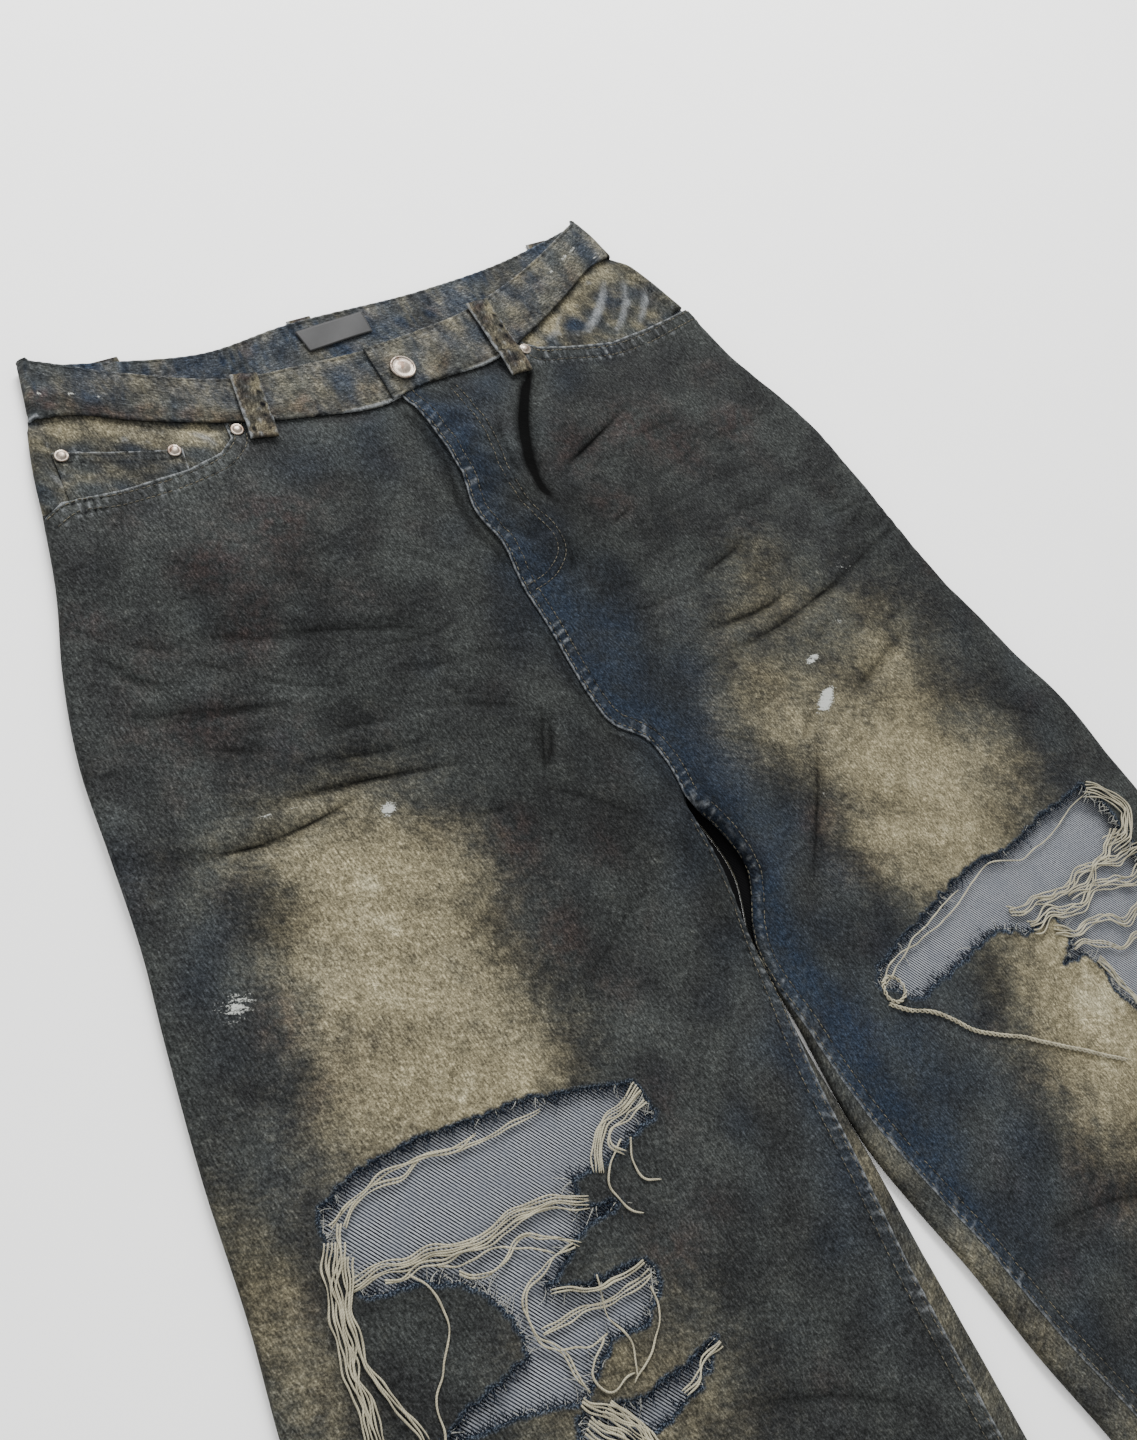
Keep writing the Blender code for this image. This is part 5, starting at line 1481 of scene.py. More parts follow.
def make_front_loop(name, ends):
    """A belt loop over the front of the waistband, a little arched, its ends raised as if turned under."""
    (x0, y0), (x1, y1) = ends
    run = math.hypot(x1 - x0, y1 - y0)
    dx, dy = (x1 - x0) / run, (y1 - y0) / run
    upper, lower, outward = [], [], []
    for along in steps(0, 1, 1.3 / run):
        x, y = x0 + (x1 - x0) * along, y0 + (y1 - y0) * along
        arch = 1.6 * math.sin(math.pi * along) ** 0.5
        cloth = front_height(x, y) + 0.5 + DENIM / 2 if y < front_bottom(x) else 0
        z = max(band_height(x) + WAISTBAND / 2, cloth) + 0.35 + DENIM / 2 + arch
        z += 0.7 * math.exp(-((along * run / 3) ** 2)) + 0.7 * math.exp(-(((1 - along) * run / 3) ** 2))
        upper.append((x + dy * LOOP_WIDTH / 2, y - dx * LOOP_WIDTH / 2, z))
        lower.append((x - dy * LOOP_WIDTH / 2, y + dx * LOOP_WIDTH / 2, z))
        outward.append((0, 0, 1))
    loop = Ribbon(upper, lower, outward, DENIM + 0.4, LOOP_ROWS,
                  lambda s, v: 0.25 * ripple(s, v, 9, 115) + 0.3 * bell(v - LOOP_WIDTH / 2, 4))
    return loop.build(name, "face", loop_fields)


def make_back_loop(name, x):
    """A belt loop under the back of the waistband, which lies on it."""
    top = back_top(x) + 3
    ys = steps(top, top - 56, 2)
    half = LOOP_WIDTH / 2
    upper = [(x - half, y, DENIM / 2) for y in ys]
    lower = [(x + half, y, DENIM / 2) for y in ys]
    loop = Ribbon(upper, lower, [(0, 0, 1)] * len(ys), 0.9, LOOP_ROWS)
    return loop.build(name, "face", loop_fields)


def make_zip_tape(name):
    """The closed zip's tape under the fly."""
    ys = steps(-96, FLY_END + 14, 3)
    xs = fly_line(ys) + 8
    z = np.full(len(ys), 4.2)
    tape = Ribbon(np.stack([xs - 11, ys, z], 1), np.stack([xs + 11, ys, z], 1), [(0, 0, 1)] * len(ys), 0.8,
                  (0, 0.05, 0.3, 0.45, 0.55, 0.7, 0.95, 1))
    return tape.build(name, "tape", lambda s, v, out, spots: {"worn": 0 * s})


# Fasteners


def add_turned(name, place, base, profile, finish_name, sides):
    """A round piece from a profile of (radius, height) rows, on an upright axis."""
    radius, height = np.array(profile, float).T
    angle = np.linspace(0, 2 * math.pi, sides, endpoint=False)
    x = place[0] + np.outer(radius, np.cos(angle))
    y = place[1] + np.outer(radius, np.sin(angle))
    z = base + np.outer(height, np.ones(sides))
    spots = np.stack([x, y, z], -1).reshape(-1, 3)
    faces = []
    for k in range(len(profile) - 1):
        for i in range(sides):
            j = (i + 1) % sides
            faces.append((k * sides + i, k * sides + j, (k + 1) * sides + j, (k + 1) * sides + i))
    faces.append(tuple(range(sides))[::-1])
    faces.append(tuple(range((len(profile) - 1) * sides, len(profile) * sides)))
    return add_mesh(name, spots, faces, [finish(finish_name)], spots)


BUTTON_PLACE = (13.0, -71.0)
RIVETS = {
    "rivet_coin_outer": (-202, -62), "rivet_coin_inner": (-143, -77),
    "rivet_pocket_right": (-104, -77), "rivet_pocket_left": (103, -82),
}
BUTTON_PROFILE = (
    (3.9, 0), (3.9, 0.9), (5.2, 1.1), (7.6, 1.25), (8.2, 1.5), (8.5, 1.95), (8.45, 2.4), (8.1, 2.8),
    (7.6, 2.95), (7.1, 2.8), (6.8, 2.5), (6.5, 2.42), (5.9, 2.5), (5.5, 2.42), (4.6, 2.5), (3.6, 2.7),
    (2.4, 2.95), (1.2, 3.1), (0.4, 3.13),
)
RIVET_PROFILE = (
    (3.9, 0), (4.0, 0.25), (3.85, 0.5), (3.4, 0.62), (3.0, 0.55), (2.7, 0.6), (2.3, 0.9), (1.7, 1.15),
    (0.9, 1.28), (0.2, 1.3),
)


def make_button(name):
    """A shank button: a rim round a shallow dish with a low boss."""
    base = band_height(BUTTON_PLACE[0]) + OVERLAP_RISE + WAISTBAND / 2 + 0.35
    return add_turned(name, BUTTON_PLACE, base, BUTTON_PROFILE, "metal", 64)


def make_rivet(name, place):
    """A domed rivet with a flat flange, at its node's height."""
    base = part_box(name)[0][2] / MM
    return add_turned(name.replace("rivet", "domed_rivet"), place, base, RIVET_PROFILE, "metal", 36)


LABEL = ((-35, -22), (14, -20), (13, -36), (-33, -38))


def make_label(name):
    """The bare woven label inside the back of the waistband, bulging a little between its ends."""
    a, b, c, d = (np.array(p, float) for p in LABEL)
    u, v = np.meshgrid(np.linspace(0, 1, 41), np.linspace(0, 1, 15), indexing="ij")
    u, v = u.ravel()[:, None], v.ravel()[:, None]
    flat = (a * (1 - u) + b * u) * (1 - v) + (d * (1 - u) + c * u) * v
    rise = 0.25 + 0.45 * np.sin(np.pi * u[:, 0]) ** 0.7 + 0.15 * np.sin(7 * u[:, 0] + 3 * v[:, 0])
    z = BAND_LOW + WAISTBAND / 2 + 0.75 + rise
    i, k = np.meshgrid(np.arange(40), np.arange(14), indexing="ij")
    first = (i * 15 + k).ravel()
    faces = np.stack([first, first + 1, first + 16, first + 15], 1)
    return add_mesh(name, np.column_stack([flat, z]), faces, [finish("label")], flat, wall=0.5)


# Threads and frayed edges


def tubes(name, paths, radii, finish_name, sides):
    """Round strands along paths of the same number of points, closed at their ends."""
    paths = np.asarray(paths, float)
    count, length = paths.shape[:2]
    ahead = unit(np.gradient(paths, axis=1) + 1e-9)
    side_way = unit(np.cross(ahead, (0.03, 0.05, 1.0)))
    up = np.cross(side_way, ahead)
    angle = 2 * math.pi * np.arange(sides) / sides
    ring = (side_way[:, :, None] * np.cos(angle)[:, None] + up[:, :, None] * np.sin(angle)[:, None])
    radii = np.broadcast_to(np.asarray(radii, float), (count, length))
    spots = (paths[:, :, None] + ring * radii[:, :, None, None]).reshape(-1, 3)
    start = (np.arange(count) * length * sides)[:, None, None]
    row = (np.arange(length - 1) * sides)[None, :, None]
    k = np.arange(sides)[None, None, :]
    a, b = start + row + k, start + row + (k + 1) % sides
    faces = np.stack([a, b, b + sides, a + sides], -1).reshape(-1, 4)
    caps = []
    if sides > 3:
        base = (np.arange(count) * length * sides)[:, None]
        caps = (base + np.arange(sides)[::-1]).tolist()
        caps += (base + (length - 1) * sides + np.arange(sides)).tolist()
    pieces = np.linalg.norm(np.diff(paths, axis=1), axis=2)
    run = np.concatenate([np.zeros((count, 1)), np.cumsum(pieces, 1)], 1)
    around = np.broadcast_to(np.arange(sides) * 0.4, (count, length, sides))
    along = np.broadcast_to((run + 31 * np.arange(count)[:, None])[:, :, None], around.shape)
    cloth_map = np.stack([around, along], -1).reshape(-1, 2)
    return add_mesh(name, spots, faces.tolist() + caps, [finish(finish_name)], cloth_map)


# How far a yarn across a rip floats over the back cloth
FLOAT_RISE = 1.44


def ground(side, x, y):
    """Height on which a thread lies: on the front, or sunk into a rip."""
    lift, _ = front_detail(side, x, y)
    high = place_front(side, x, y, lift)[:, 2] + DENIM / 2
    sunk = np.zeros(np.shape(x))
    flat = pairs(x, y)
    for rip in RIPS[side]:
        ring = torn(rip)
        inside = inside_ring(flat, ring)
        off = np.abs(along_line(x, y, ring, closed=True)[1])
        sunk = np.maximum(sunk, np.where(inside, ease(off / 9), 0))
    floor_z = back_height(y) + DENIM / 2 + 0.6
    return high * (1 - sunk) + np.minimum(high, floor_z + FLOAT_RISE) * sunk


def strand_paths(side, route, count, spacing, seed, wander, raised, twist):
    """Paths of the yarns of one bundle along its given route."""
    rng = np.random.default_rng(seed)
    line = smooth_path(route, 1.3)
    ahead = unit(np.gradient(line, axis=0))
    left = pairs(-ahead[:, 1], ahead[:, 0])
    run = np.linspace(0, 1, len(line))
    length = 1.3 * len(line)

    def sway(sizes, amounts):
        phases = rng.uniform(0, 2 * math.pi, len(sizes))
        return sum(np.sin(2 * math.pi * run * length / size + phase) * amount
                   for size, phase, amount in zip(sizes, phases, amounts))

    together = sway((48, 23), (0.7, 0.5)) * wander
    order = rng.permutation(count) if count > 2 else np.arange(count)
    paths = []
    for k in range(count):
        place = k - (count - 1) / 2
        swap = (order[k] - (count - 1) / 2 - place) * ease((run - 0.35) / 0.3)
        own = sway((37, 19, 11), (0.5, 0.35, 0.15)) * wander
        loose = 1 + 0.8 * np.abs(run - 0.5) * rng.uniform(0, 1.6)
        off = (place + swap) * spacing * loose + together + own * 0.7
        high = raised + 0.3 * (k % 2) + 0.3 * (1 + sway((29,), (0.8,))) * wander
        if twist:
            angle = 2 * math.pi * (run * length / twist + k / count)
            off = together * 0.4 + spacing * 0.6 * np.cos(angle)
            high = raised + spacing * 0.6 * (1 + np.sin(angle))
        flat = line + left * off[:, None]
        z = ground(side, flat[:, 0], flat[:, 1])
        reach = 4
        padded = np.pad(z, reach, mode="edge")
        z = np.maximum(np.convolve(padded, np.ones(2 * reach + 1) / (2 * reach + 1), "valid"), z - 0.25)
        paths.append(np.column_stack([flat, z + high]))
    return paths


# Pulled yarns: node, leg side, then bundles of (count, spacing, wander, raised, twist, route x, y)
STRANDS = {
    "rip_threads_top": (-1, (
        (2, 1.3, 0.7, 0.3, 0, ((-266, -487), (-253, -480), (-230, -482), (-221, -480), (-200, -487),
         (-177, -490), (-155, -493))),
        (2, 1.2, 1.1, 0.5, 0, ((-272, -483), (-258, -479), (-240, -477), (-224, -479), (-205, -484),
         (-190, -486))),
    )),
    "rip_threads_across": (-1, (
        (5, 1.15, 0.8, 0.3, 0, ((-276, -511), (-259, -513), (-246, -517), (-238, -518), (-218, -527),
         (-207, -527), (-193, -526), (-176, -532), (-158, -542))),
        (2, 1.2, 1.5, 0.8, 0, ((-262, -517), (-244, -522), (-224, -528), (-208, -530), (-190, -531),
         (-172, -535))),
        (2, 1.0, 1.2, 0.4, 0, ((-230, -533), (-218, -542), (-205, -541), (-193, -538), (-181, -547),
         (-173, -556))),
        (1, 1.0, 1.4, 0.4, 0, ((-238, -526), (-222, -534), (-208, -533), (-196, -544), (-186, -553))),
    )),
    "rip_threads_hanging": (-1, (
        (6, 1.5, 1.3, 0.4, 0, ((-274, -490), (-283, -506), (-289, -524), (-294, -548), (-300, -575),
         (-302, -604))),
        (3, 1.2, 1.0, 1.2, 0, ((-270, -500), (-282, -518), (-286, -540), (-284, -562), (-280, -584))),
        (2, 1.0, 1.6, 0.5, 0, ((-268, -484), (-276, -498), (-285, -515), (-292, -540), (-297, -566))),
        (1, 1.0, 0.9, 0.5, 0, ((-251, -521), (-245, -532), (-249, -552), (-258, -564), (-266, -572),
         (-274, -590), (-276, -606))),
    )),
    "rip_threads_right": (-1, (
        (5, 1.1, 0.8, 0.4, 0, ((-103, -512), (-115, -514), (-130, -516), (-140, -526), (-146, -534))),
        (2, 1.0, 1.6, 0.8, 0, ((-104, -518), (-116, -522), (-127, -519), (-133, -527), (-129, -534))),
        (1, 1.0, 1.0, 0.6, 0, ((-126, -527), (-139, -535), (-145, -545), (-143, -556), (-136, -562))),
        (1, 1.0, 1.0, 0.6, 0, ((-121, -529), (-127, -538), (-125, -549), (-119, -555))),
    )),
    "rip_threads_low": (-1, (
        (3, 1.4, 0.9, 0.4, 0, ((-149, -587), (-160, -587), (-176, -585), (-192, -581), (-210, -578))),
        (1, 1.0, 1.2, 0.5, 0, ((-173, -572), (-178, -589), (-176, -605), (-182, -620))),
        (1, 1.0, 1.2, 0.5, 0, ((-152, -592), (-158, -605), (-170, -616), (-184, -622))),
        (2, 1.2, 1.2, 0.5, 0, ((-176, -555), (-192, -554), (-204, -557), (-211, -565), (-213, -577),
         (-207, -592), (-205, -612))),
        (1, 1.0, 1.5, 0.7, 0, ((-184, -597), (-198, -595), (-207, -589))),
        (1, 1.0, 1.5, 0.7, 0, ((-187, -596), (-200, -606), (-196, -615), (-182, -619))),
        (2, 1.2, 1.2, 0.4, 0, ((-150, -582), (-166, -579), (-182, -574), (-198, -566))),
    )),
    "rip_threads_fringe": (-1, (
        (7, 1.5, 1.1, 0.5, 0, ((-203, -622), (-199, -632), (-194, -644), (-187, -656), (-178, -667))),
        (5, 1.6, 1.3, 0.8, 0, ((-213, -622), (-206, -634), (-200, -648), (-193, -660))),
        (4, 1.2, 1.4, 0.6, 0, ((-210, -612), (-203, -622), (-195, -634), (-190, -650), (-182, -660))),
        (3, 1.0, 1.2, 0.6, 0, ((-137, -632), (-148, -633), (-158, -638), (-166, -640))),
    )),
    "left_rip_threads_top": (1, (
        (1, 1.0, 0.6, 0.4, 0, ((66, -541), (73, -536), (92, -534), (109, -534), (130, -533), (151, -528),
         (174, -522), (187, -522), (206, -530), (237, -529), (262, -524), (287, -518))),
        (1, 1.0, 0.8, 0.4, 0, ((64, -543), (80, -538), (104, -531), (128, -526), (150, -524))),
    )),
    "left_rip_threads_side": (1, (
        (5, 1.3, 1.6, 0.5, 0, ((174, -553), (196, -556), (220, -562), (240, -557), (262, -563),
         (296, -567))),
        (5, 1.4, 1.8, 0.5, 0, ((180, -566), (200, -568), (222, -575), (244, -571), (266, -579),
         (292, -580))),
        (4, 1.4, 1.7, 0.5, 0, ((194, -577), (212, -586), (232, -588), (250, -598), (276, -598))),
        (3, 1.3, 1.4, 0.5, 0, ((200, -592), (218, -598), (236, -610), (254, -612), (272, -622))),
        (6, 1.5, 1.3, 0.8, 0, ((284, -517), (297, -530), (302, -545), (294, -554), (276, -556))),
        (4, 1.3, 1.2, 0.6, 0, ((211, -606), (214, -618), (215, -630), (219, -644), (228, -655))),
        (4, 1.4, 1.5, 0.6, 0, ((286, -548), (272, -560), (256, -560), (240, -568), (222, -566))),
    )),
    "left_rip_threads_cord": (1, (
        (3, 1.5, 0.6, 0.2, 10, ((58, -553), (68, -562), (81, -571), (100, -594), (130, -617),
         (153, -637), (182, -662))),
        (2, 1.3, 0.4, 0.3, 7, ((62, -541), (69, -540), (74, -546), (72, -553), (65, -555), (60, -550),
         (61, -543), (68, -539))),
    )),
}


def make_strands(name, node, yarn_radius):
    """The pulled yarns of one bundle, each a spun strand."""
    side, bundles = STRANDS[node]
    found = []
    for k, (count, spacing, wander, raised, twist, route) in enumerate(bundles):
        found += strand_paths(side, route, count, spacing, 200 + 7 * k + len(node), wander, raised, twist)
    longest = max(len(path) for path in found)
    paths, radii = [], []
    for k, path in enumerate(found):
        at = np.linspace(0, len(path) - 1, longest)
        paths.append(np.stack([np.interp(at, np.arange(len(path)), column) for column in path.T], 1))
        share = np.linspace(0, 1, longest)
        thick = yarn_radius * (1 + 0.16 * ripple(share * len(path) * 1.3, 0 * share + k, 11, 131))
        radii.append(thick * (0.35 + 0.65 * np.clip((1 - share) * 12, 0, 1) ** 0.5))
    return tubes(name, paths, radii, "yarn", 5)


def make_fringe(side, name, finish_name, warp, pitch, seed):
    """Cut ends along the edges of the rips: dark warp at cross cuts, pale weft at upright ones."""
    rng = np.random.default_rng(seed)
    roots, ways = [], []
    for rip in RIPS[side]:
        ring = torn(rip)
        after = np.roll(ring, -1, axis=0)
        turning = np.sign(np.sum(ring[:, 0] * after[:, 1] - ring[:, 1] * after[:, 0]))
        closed = np.vstack([ring, ring[:1]])
        run = np.concatenate([[0], np.cumsum(np.linalg.norm(np.diff(closed, axis=0), axis=1))])
        at = np.arange(0, run[-1], pitch) + rng.uniform(-0.4, 0.4, len(np.arange(0, run[-1], pitch))) * pitch
        spot = np.stack([np.interp(at, run, closed[:, c]) for c in (0, 1)], 1)
        ahead = unit(np.stack([np.interp(at + 2, run, closed[:, c]) - np.interp(at - 2, run, closed[:, c])
                               for c in (0, 1)], 1) + 1e-9)
        into = pairs(-ahead[:, 1], ahead[:, 0]) * turning
        keep = np.abs(into[:, 1]) > 0.45 if warp else np.abs(into[:, 0]) > 0.5
        roots.append(spot[keep])
        ways.append(into[keep])
    roots, ways = np.vstack(roots), np.vstack(ways)
    count, length = len(roots), 6
    reach = rng.gamma(3.0, 1.0 if warp else 1.3, count) + 1.2
    angle = rng.normal(0, 0.45 if warp else 0.6, count)
    curl = rng.normal(0, 0.5 if warp else 0.9, count)
    share = np.linspace(0, 1, length)
    turn = angle[:, None] + curl[:, None] * share
    way = np.stack([ways[:, None, 0] * np.cos(turn) - ways[:, None, 1] * np.sin(turn),
                    ways[:, None, 0] * np.sin(turn) + ways[:, None, 1] * np.cos(turn)], -1)
    step = reach[:, None, None] / (length - 1) * way
    flat = roots[:, None] - ways[:, None] * 1.4 + np.cumsum(step, axis=1)
    lift, _ = front_detail(side, roots[:, 0], roots[:, 1])
    base = place_front(side, roots[:, 0], roots[:, 1], lift)[:, 2] + rng.uniform(-0.3, 0.6, count)
    drop = rng.uniform(-0.4, 1.9, count)
    z = base[:, None] - drop[:, None] * share ** 1.6 + rng.normal(0, 0.12, (count, length))
    z = np.maximum(z, back_height(flat[..., 1]) + DENIM / 2 + 0.4)
    radii = np.linspace(0.24, 0.1, length)[None, :] * rng.uniform(0.8, 1.5, count)[:, None]
    return tubes(name, np.concatenate([flat, z[..., None]], -1), radii, finish_name, 3)


# Sewing


def stitch_mesh():
    """One short stitch: a bent strand that sinks at both ends."""
    if "one_stitch" in bpy.data.objects:
        return bpy.data.objects["one_stitch"]
    spots, faces = [], []
    profile = ((-0.5, -0.5, 0.5), (-0.36, 0.1, 0.85), (0.0, 0.32, 1.0), (0.36, 0.1, 0.85), (0.5, -0.5, 0.5))
    for x, z, r in profile:
        for k in range(5):
            a = 2 * math.pi * k / 5
            spots.append((x, 0.5 * r * math.cos(a), z + 0.5 * r * math.sin(a)))
    for i in range(4):
        for k in range(5):
            faces.append((5 * i + k, 5 * i + (k + 1) % 5, 5 * i + 5 + (k + 1) % 5, 5 * i + 5 + k))
    mesh = bpy.data.meshes.new("one_stitch")
    mesh.from_pydata(spots, [], [f[::-1] for f in faces])
    mesh.shade_smooth()
    made = bpy.data.objects.new("one_stitch", mesh)
    return made


def stitches_on(line, ups, pitch, length, thick, seed):
    """Stitches along a line: their middles, directions, ways up and sizes."""
    line, ups = np.asarray(line, float), np.asarray(ups, float)
    run = np.concatenate([[0], np.cumsum(np.linalg.norm(np.diff(line, axis=0), axis=1))])
    at = np.arange(pitch / 2, run[-1], pitch)
    rng = np.random.default_rng(seed + len(at))
    at = at[rng.uniform(0, 1, len(at)) > 0.04]
    at = at + rng.normal(0, 0.06 * pitch, len(at))
    spot = np.stack([np.interp(at, run, c) for c in line.T], 1)
    up = unit(np.stack([np.interp(at, run, c) for c in ups.T], 1))
    ahead = unit(1e-9 + np.stack([np.interp(at + 0.4, run, c) - np.interp(at - 0.4, run, c)
                                  for c in line.T], 1))
    size = np.column_stack([np.full(len(at), length), np.full(len(at), thick), np.full(len(at), thick)])
    size = size * rng.uniform(0.88, 1.1, (len(at), 1))
    return spot, ahead, up, size


def sew(name, groups):
    """Places a stitch at each spot with geometry nodes and turns the result into a plain mesh."""
    spot, ahead, up, size = (np.vstack(parts) for parts in zip(*groups))
    mesh = bpy.data.meshes.new(name)
    mesh.from_pydata(in_world(spot).tolist(), [], [])
    for field, values in (("ahead", ahead), ("up", up), ("size", size * MM)):
        made = mesh.attributes.new(field, "FLOAT_VECTOR", "POINT")
        made.data.foreach_set("vector", values.astype(np.float32).ravel())
    piece = bpy.data.objects.new(name, mesh)
    bpy.context.collection.objects.link(piece)
    tree = bpy.data.node_groups.new(name, "GeometryNodeTree")
    tree.interface.new_socket("Geometry", in_out="INPUT", socket_type="NodeSocketGeometry")
    stitch_socket = tree.interface.new_socket("Stitch", in_out="INPUT", socket_type="NodeSocketObject")
    tree.interface.new_socket("Geometry", in_out="OUTPUT", socket_type="NodeSocketGeometry")
    entry, leave = add_node(tree, "NodeGroupInput"), add_node(tree, "NodeGroupOutput")
    info = add_node(tree, "GeometryNodeObjectInfo", {"Object": entry.outputs["Stitch"]})
    fields = {}
    for field in ("ahead", "up", "size"):
        fields[field] = add_node(tree, "GeometryNodeInputNamedAttribute", {"Name": field},
                                 data_type="FLOAT_VECTOR").outputs[0]
    turn = add_node(tree, "FunctionNodeAxesToRotation", {0: fields["ahead"], 1: fields["up"]},
                    primary_axis="X", secondary_axis="Z")
    placed = add_node(tree, "GeometryNodeInstanceOnPoints", {
        "Points": entry.outputs["Geometry"], "Instance": info.outputs["Geometry"],
        "Rotation": turn.outputs[0], "Scale": fields["size"]})
    real = add_node(tree, "GeometryNodeRealizeInstances", {0: placed.outputs[0]})
    coloured = add_node(tree, "GeometryNodeSetMaterial", {0: real.outputs[0], "Material": finish("sewing")})
    tree.links.new(coloured.outputs[0], leave.inputs[0])
    modifier = piece.modifiers.new("sewing", "NODES")
    modifier.node_group = tree
    modifier[stitch_socket.identifier] = stitch_mesh()
    make_plain(piece)
    bpy.data.node_groups.remove(tree)
    for polygon in piece.data.polygons:
        polygon.use_smooth = True
    return piece


def front_row(side, line):
    """A sewing line laid on a front panel, with the way up from the cloth."""
    x, y = np.asarray(line, float).T
    lift, _ = front_detail(side, x, y)

    def laid(dx, dy):
        return place_front(side, x + dx, y + dy, lift)

    spots = under_band(side, x, y, laid(0, 0))
    ups = unit(np.cross(laid(0.5, 0) - laid(-0.5, 0), laid(0, 0.5) - laid(0, -0.5)))
    return spots + ups * (DENIM / 2 + 0.15), ups


def front_sewing(side, pitch, length, thick):
    """The stitch rows of a front panel."""
    groups = []
    for k, (name, (line, sign, _, rows, _, _)) in enumerate(seam_lines(side).items()):
        line = smooth_path(line, 1.6) if name in ("mouth", "flap") else through(line, 1.6)
        if name == "hem":
            turns = outer_turn(side, HEM_Y), inner_turn(side, HEM_Y)
            line = line[(line[:, 0] > min(turns)) & (line[:, 0] < max(turns))]
        for row in rows:
            spots, ups = front_row(side, beside(line, sign * row))
            groups.append(stitches_on(spots, ups, pitch, length, thick, 10 * k + round(row)))
    return groups


# Stage


def look_from(place, yaw, pitch, roll):
    """The camera's place and turn."""
    turn = (Matrix.Rotation(math.radians(yaw), 4, "Z") @ Matrix.Rotation(math.radians(pitch), 4, "X")
            @ Matrix.Rotation(math.radians(roll), 4, "Z"))
    return Matrix.Translation(place) @ turn


# The camera's place in metres, its turn in degrees and its lens and sensor in millimetres
CAMERA_PLACE = (-0.3908, 0.0847, 0.6465)
CAMERA_TURN = (-69.13, 31.8, 39.53)
LENS, SENSOR = 32.5, 36.0


def make_stage(key_power, fill_power, sky):
    """Camera, floor and soft lights."""
    camera = bpy.data.objects.new("camera", bpy.data.cameras.new("camera"))
    camera.data.lens = LENS
    camera.data.sensor_width = SENSOR
    camera.data.clip_start = 0.01
    camera.matrix_world = look_from(CAMERA_PLACE, *CAMERA_TURN)
    bpy.context.collection.objects.link(camera)
    bpy.context.scene.camera = camera
    size, down = 6.0, -0.3 * MM
    corners = [(-size, -size, down), (size, -size, down), (size, size, down), (-size, size, down)]
    mesh = bpy.data.meshes.new("floor")
    mesh.from_pydata(corners, [], [(0, 1, 2, 3)])
    mesh.materials.append(finish("floor"))
    floor = bpy.data.objects.new("floor", mesh)
    bpy.context.collection.objects.link(floor)
    for name, place, target, width, power in (
        ("key", (0.75, 2.1, 1.5), (0, 0.25, 0), 1.0, key_power),
        ("fill", (-1.6, 0.6, 1.6), (0, 0, 0), 1.6, fill_power),
    ):
        light = bpy.data.lights.new(name, "AREA")
        light.shape = "SQUARE"
        light.size = width
        light.energy = power
        lamp = bpy.data.objects.new(name, light)
        lamp.location = place
        lamp.rotation_euler = (Vector(target) - Vector(place)).to_track_quat("-Z", "Y").to_euler()
        bpy.context.collection.objects.link(lamp)
    world = bpy.data.worlds.new("studio")
    world.use_nodes = True
    world.node_tree.nodes["Background"].inputs["Color"].default_value = (1, 1, 1, 1)
    world.node_tree.nodes["Background"].inputs["Strength"].default_value = sky
    bpy.context.scene.world = world


# Joining to the frame


LEGS = {-1: "right", 1: "left"}


def cut_of(piece):
    """Width, length and area of the flat cut of a cloth piece, in metres, from its map."""
    layer = np.empty(len(piece.data.loops) * 2)
    piece.data.uv_layers["cloth"].data.foreach_get("uv", layer)
    flat = layer.reshape(-1, 2)
    width, length = np.ptp(flat, axis=0)
    total = sum(polygon.area for polygon in piece.data.polygons) / 2
    return (width, length), min(total, width * length)


def settle(piece, nodes, cloth=None):
    """Joins a piece to the frame: its body and the nodes that it replaces; for a cloth piece it only works
    out the cut.
    """
    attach(piece, "root")
    if nodes:
        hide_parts(*nodes)
    if cloth is not None:
        size, area = cut_of(piece)


def dress_cloth(piece, node, with_pieces=()):
    """Joins a cloth piece, laid flat, to the frame."""
    settle(piece, [node], list(with_pieces))


# The add-on: settings, an operator for each group of pieces, and a panel


class JEANS_PG_denim(bpy.types.PropertyGroup):
    """Fineness and colours of the cloth."""

    front_step: FloatProperty(
        name="Front spacing", description="Distance between the points of the front panels",
        default=2.8 * MM, min=2.4 * MM, max=8 * MM, precision=4, unit="LENGTH")
    back_step: FloatProperty(
        name="Back spacing", description="Distance between the points of the back panels",
        default=4.5 * MM, min=3 * MM, max=10 * MM, precision=4, unit="LENGTH")
    dust: FloatVectorProperty(
        name="Dust", description="Colour of the faded and dusty thighs",
        default=linear("716a54")[:3], min=0, max=1, subtype="COLOR")
    yarn: FloatVectorProperty(
        name="Raw yarn", description="Colour of the pulled weft yarns",
        default=linear("a39d86")[:3], min=0, max=1, subtype="COLOR")
    thread: FloatVectorProperty(
        name="Topstitch thread", description="Colour of the sewing thread",
        default=linear("575243")[:3], min=0, max=1, subtype="COLOR")


class JEANS_PG_sewing(bpy.types.PropertyGroup):
    """Sizes of the threads and stitches."""

    yarn_radius: FloatProperty(
        name="Yarn radius", description="Half the thickness of a pulled yarn",
        default=0.5 * MM, min=0.2 * MM, max=1 * MM, precision=5, unit="LENGTH")
    pitch: FloatProperty(
        name="Stitch pitch", description="Distance from one stitch to the next",
        default=3.3 * MM, min=2 * MM, max=6 * MM, precision=4, unit="LENGTH")
    length: FloatProperty(
        name="Stitch length", description="Length of the thread that shows in one stitch",
        default=2.5 * MM, min=1 * MM, max=5 * MM, precision=4, unit="LENGTH")
    thick: FloatProperty(
        name="Thread thickness", description="Thickness of the sewing thread",
        default=0.62 * MM, min=0.3 * MM, max=1.2 * MM, precision=5, unit="LENGTH")


